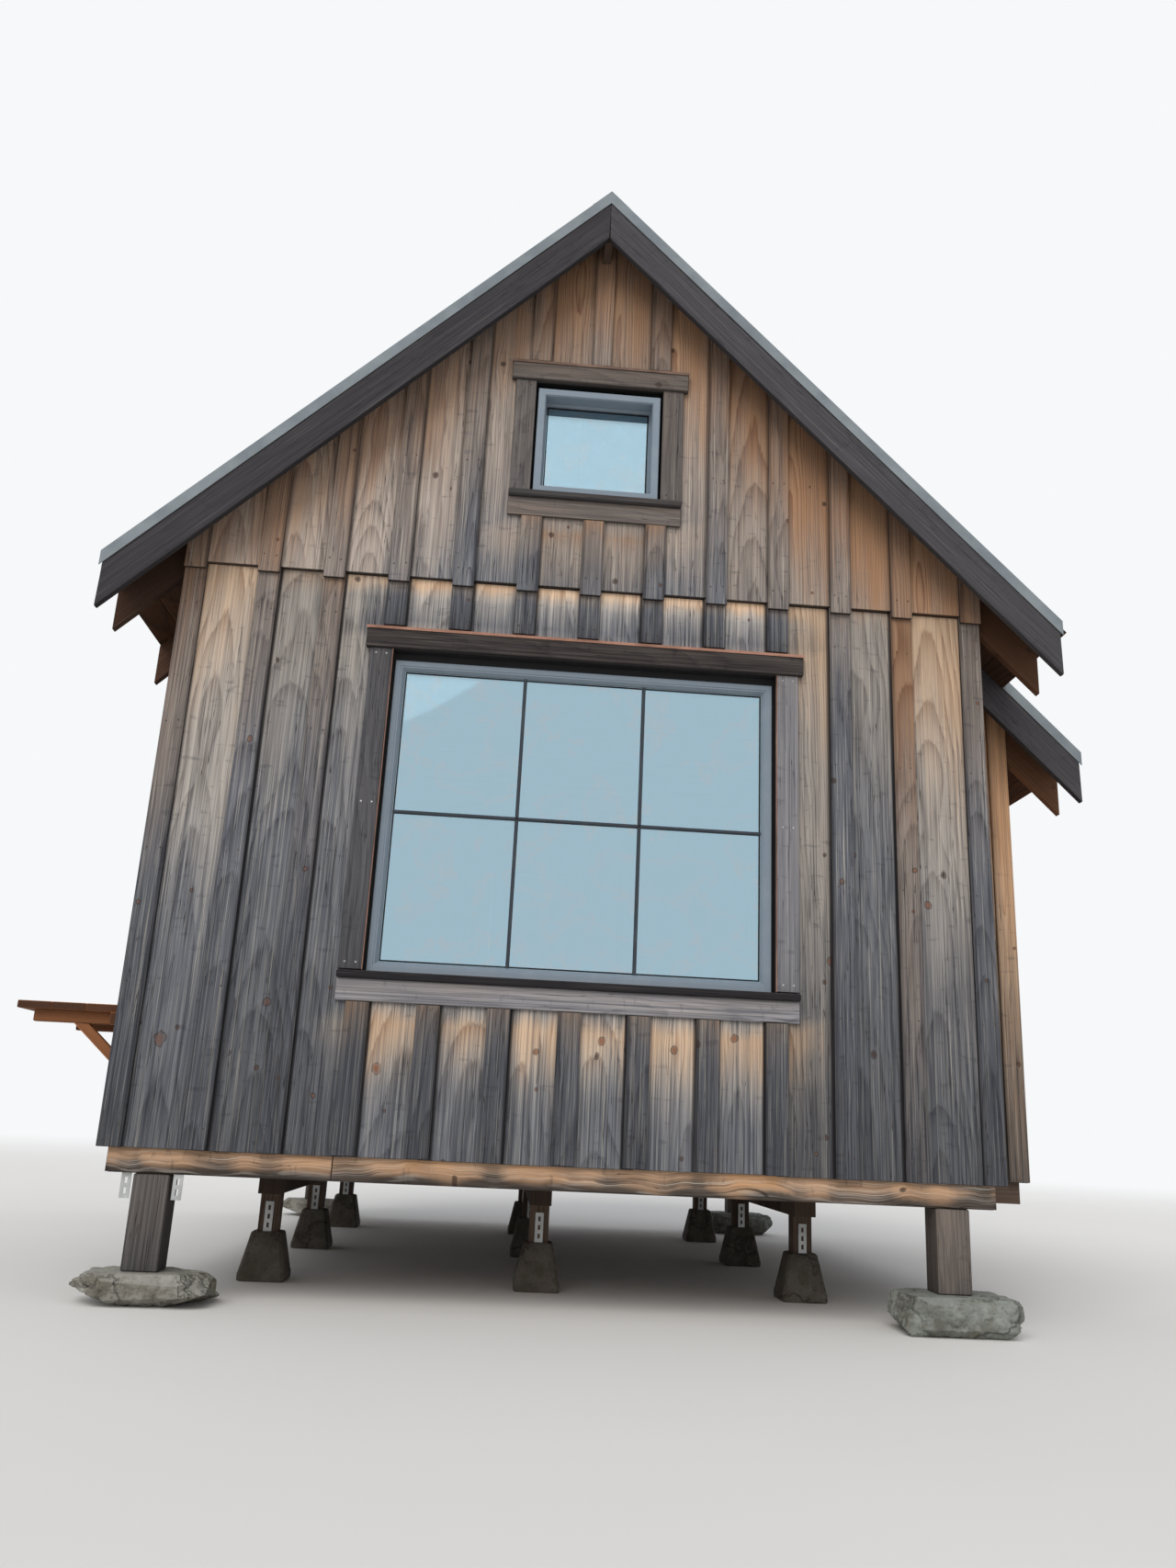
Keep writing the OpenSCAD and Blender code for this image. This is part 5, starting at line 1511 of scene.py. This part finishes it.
def dress_cad_nodes(m):
    """Finishes for the CAD pieces that stay as they are."""
    looks = {
        "joist": "floor_frame loft_joists", "beam": "girders ridge_board eave_blocking",
        "pier_post": "pier_posts", "planks": "floor_deck loft_deck", "left_rafter": "left_rafters",
        "right_rafter": "right_rafters", "lining_x": "front_wall rear_wall bay_end_walls",
        "lining_y": "left_wall right_wall bay_side_wall", "glass": "large_window_glass small_window_glass",
    }
    for look, nodes in looks.items():
        for node in nodes.split():
            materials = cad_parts[node].data.materials
            materials.clear()
            materials.append(m[look])


# Studio

SKY = (0.93, 0.94, 0.95, 1)
SKY_LIGHT = (0.62, 0.64, 0.68, 1)
FLOOR_HALF = 60.0
FADE_START, FADE_END = 9.0, 26.0


def make_studio():
    """A pale world that lights softly but shows brighter, a broad sun, and a floor that fades into it."""
    scene = bpy.context.scene
    scene.view_settings.view_transform = "Standard"
    g = Graph(bpy.data.worlds.new("Studio"))
    scene.world = g.owner
    path = g.node("ShaderNodeLightPath")
    seen = path.larger(path.also("Is Glossy Ray")).larger(path.also("Is Transmission Ray"))
    back = g.tree.nodes["Background"]
    back.inputs["Strength"].default_value = 1.0
    g.put(back.inputs["Color"], g.mix(seen, SKY_LIGHT, SKY))

    data = bpy.data.lights.new("Key", "SUN")
    data.energy, data.angle, data.color = 1.8, math.radians(45), (1.0, 0.98, 0.95)
    sun = bpy.data.objects.new("Key", data)
    sun.visible_glossy = False
    sun.rotation_euler = Vector((0.30, 0.85, -0.70)).to_track_quat("-Z", "Y").to_euler()
    scene.collection.objects.link(sun)

    mesh = bpy.data.meshes.new("Floor")
    corners = [(x * FLOOR_HALF, y * FLOOR_HALF, 0) for x, y in ((-1, -1), (1, -1), (1, 1), (-1, 1))]
    mesh.from_pydata(corners, [], [(0, 1, 2, 3)])
    floor = bpy.data.objects.new("Floor", mesh)
    scene.collection.objects.link(floor)
    g = Graph(bpy.data.materials.new("studio_floor"))
    p = g.position()
    g.finish(g.mix(g.noise(p, 0.4, 3.0), *shades("dedcd8 e5e3df")), 0.9)
    fade = g.vector("LENGTH", p, out=1).span(FADE_START, FADE_END) * g.node("ShaderNodeLightPath")
    glow = g.node("ShaderNodeEmission", {"Color": SKY, "Strength": 1.0})
    g.surface(g.node("ShaderNodeMixShader", {0: fade, 1: g.shader.outputs[0], 2: glow}))
    mesh.materials.append(g.owner)


def main():
    make_camera()
    make_studio()
    m = make_materials()
    nails = Solids()
    dress_walls(m, nails)
    nails.make("siding_nails", m["nail"], "galvanised")
    dress_windows(m)
    dress_door(m)
    dress_decks(m)
    dress_barges(m)
    dress_roofing(m)
    dress_screws(m)
    dress_ridge(m)
    dress_edges(m)
    dress_floor(m)
    dress_posts(m)
    dress_straps(m)
    dress_stones(m)
    dress_piers(m)
    dress_shelf(m)
    dress_cad_nodes(m)


main()
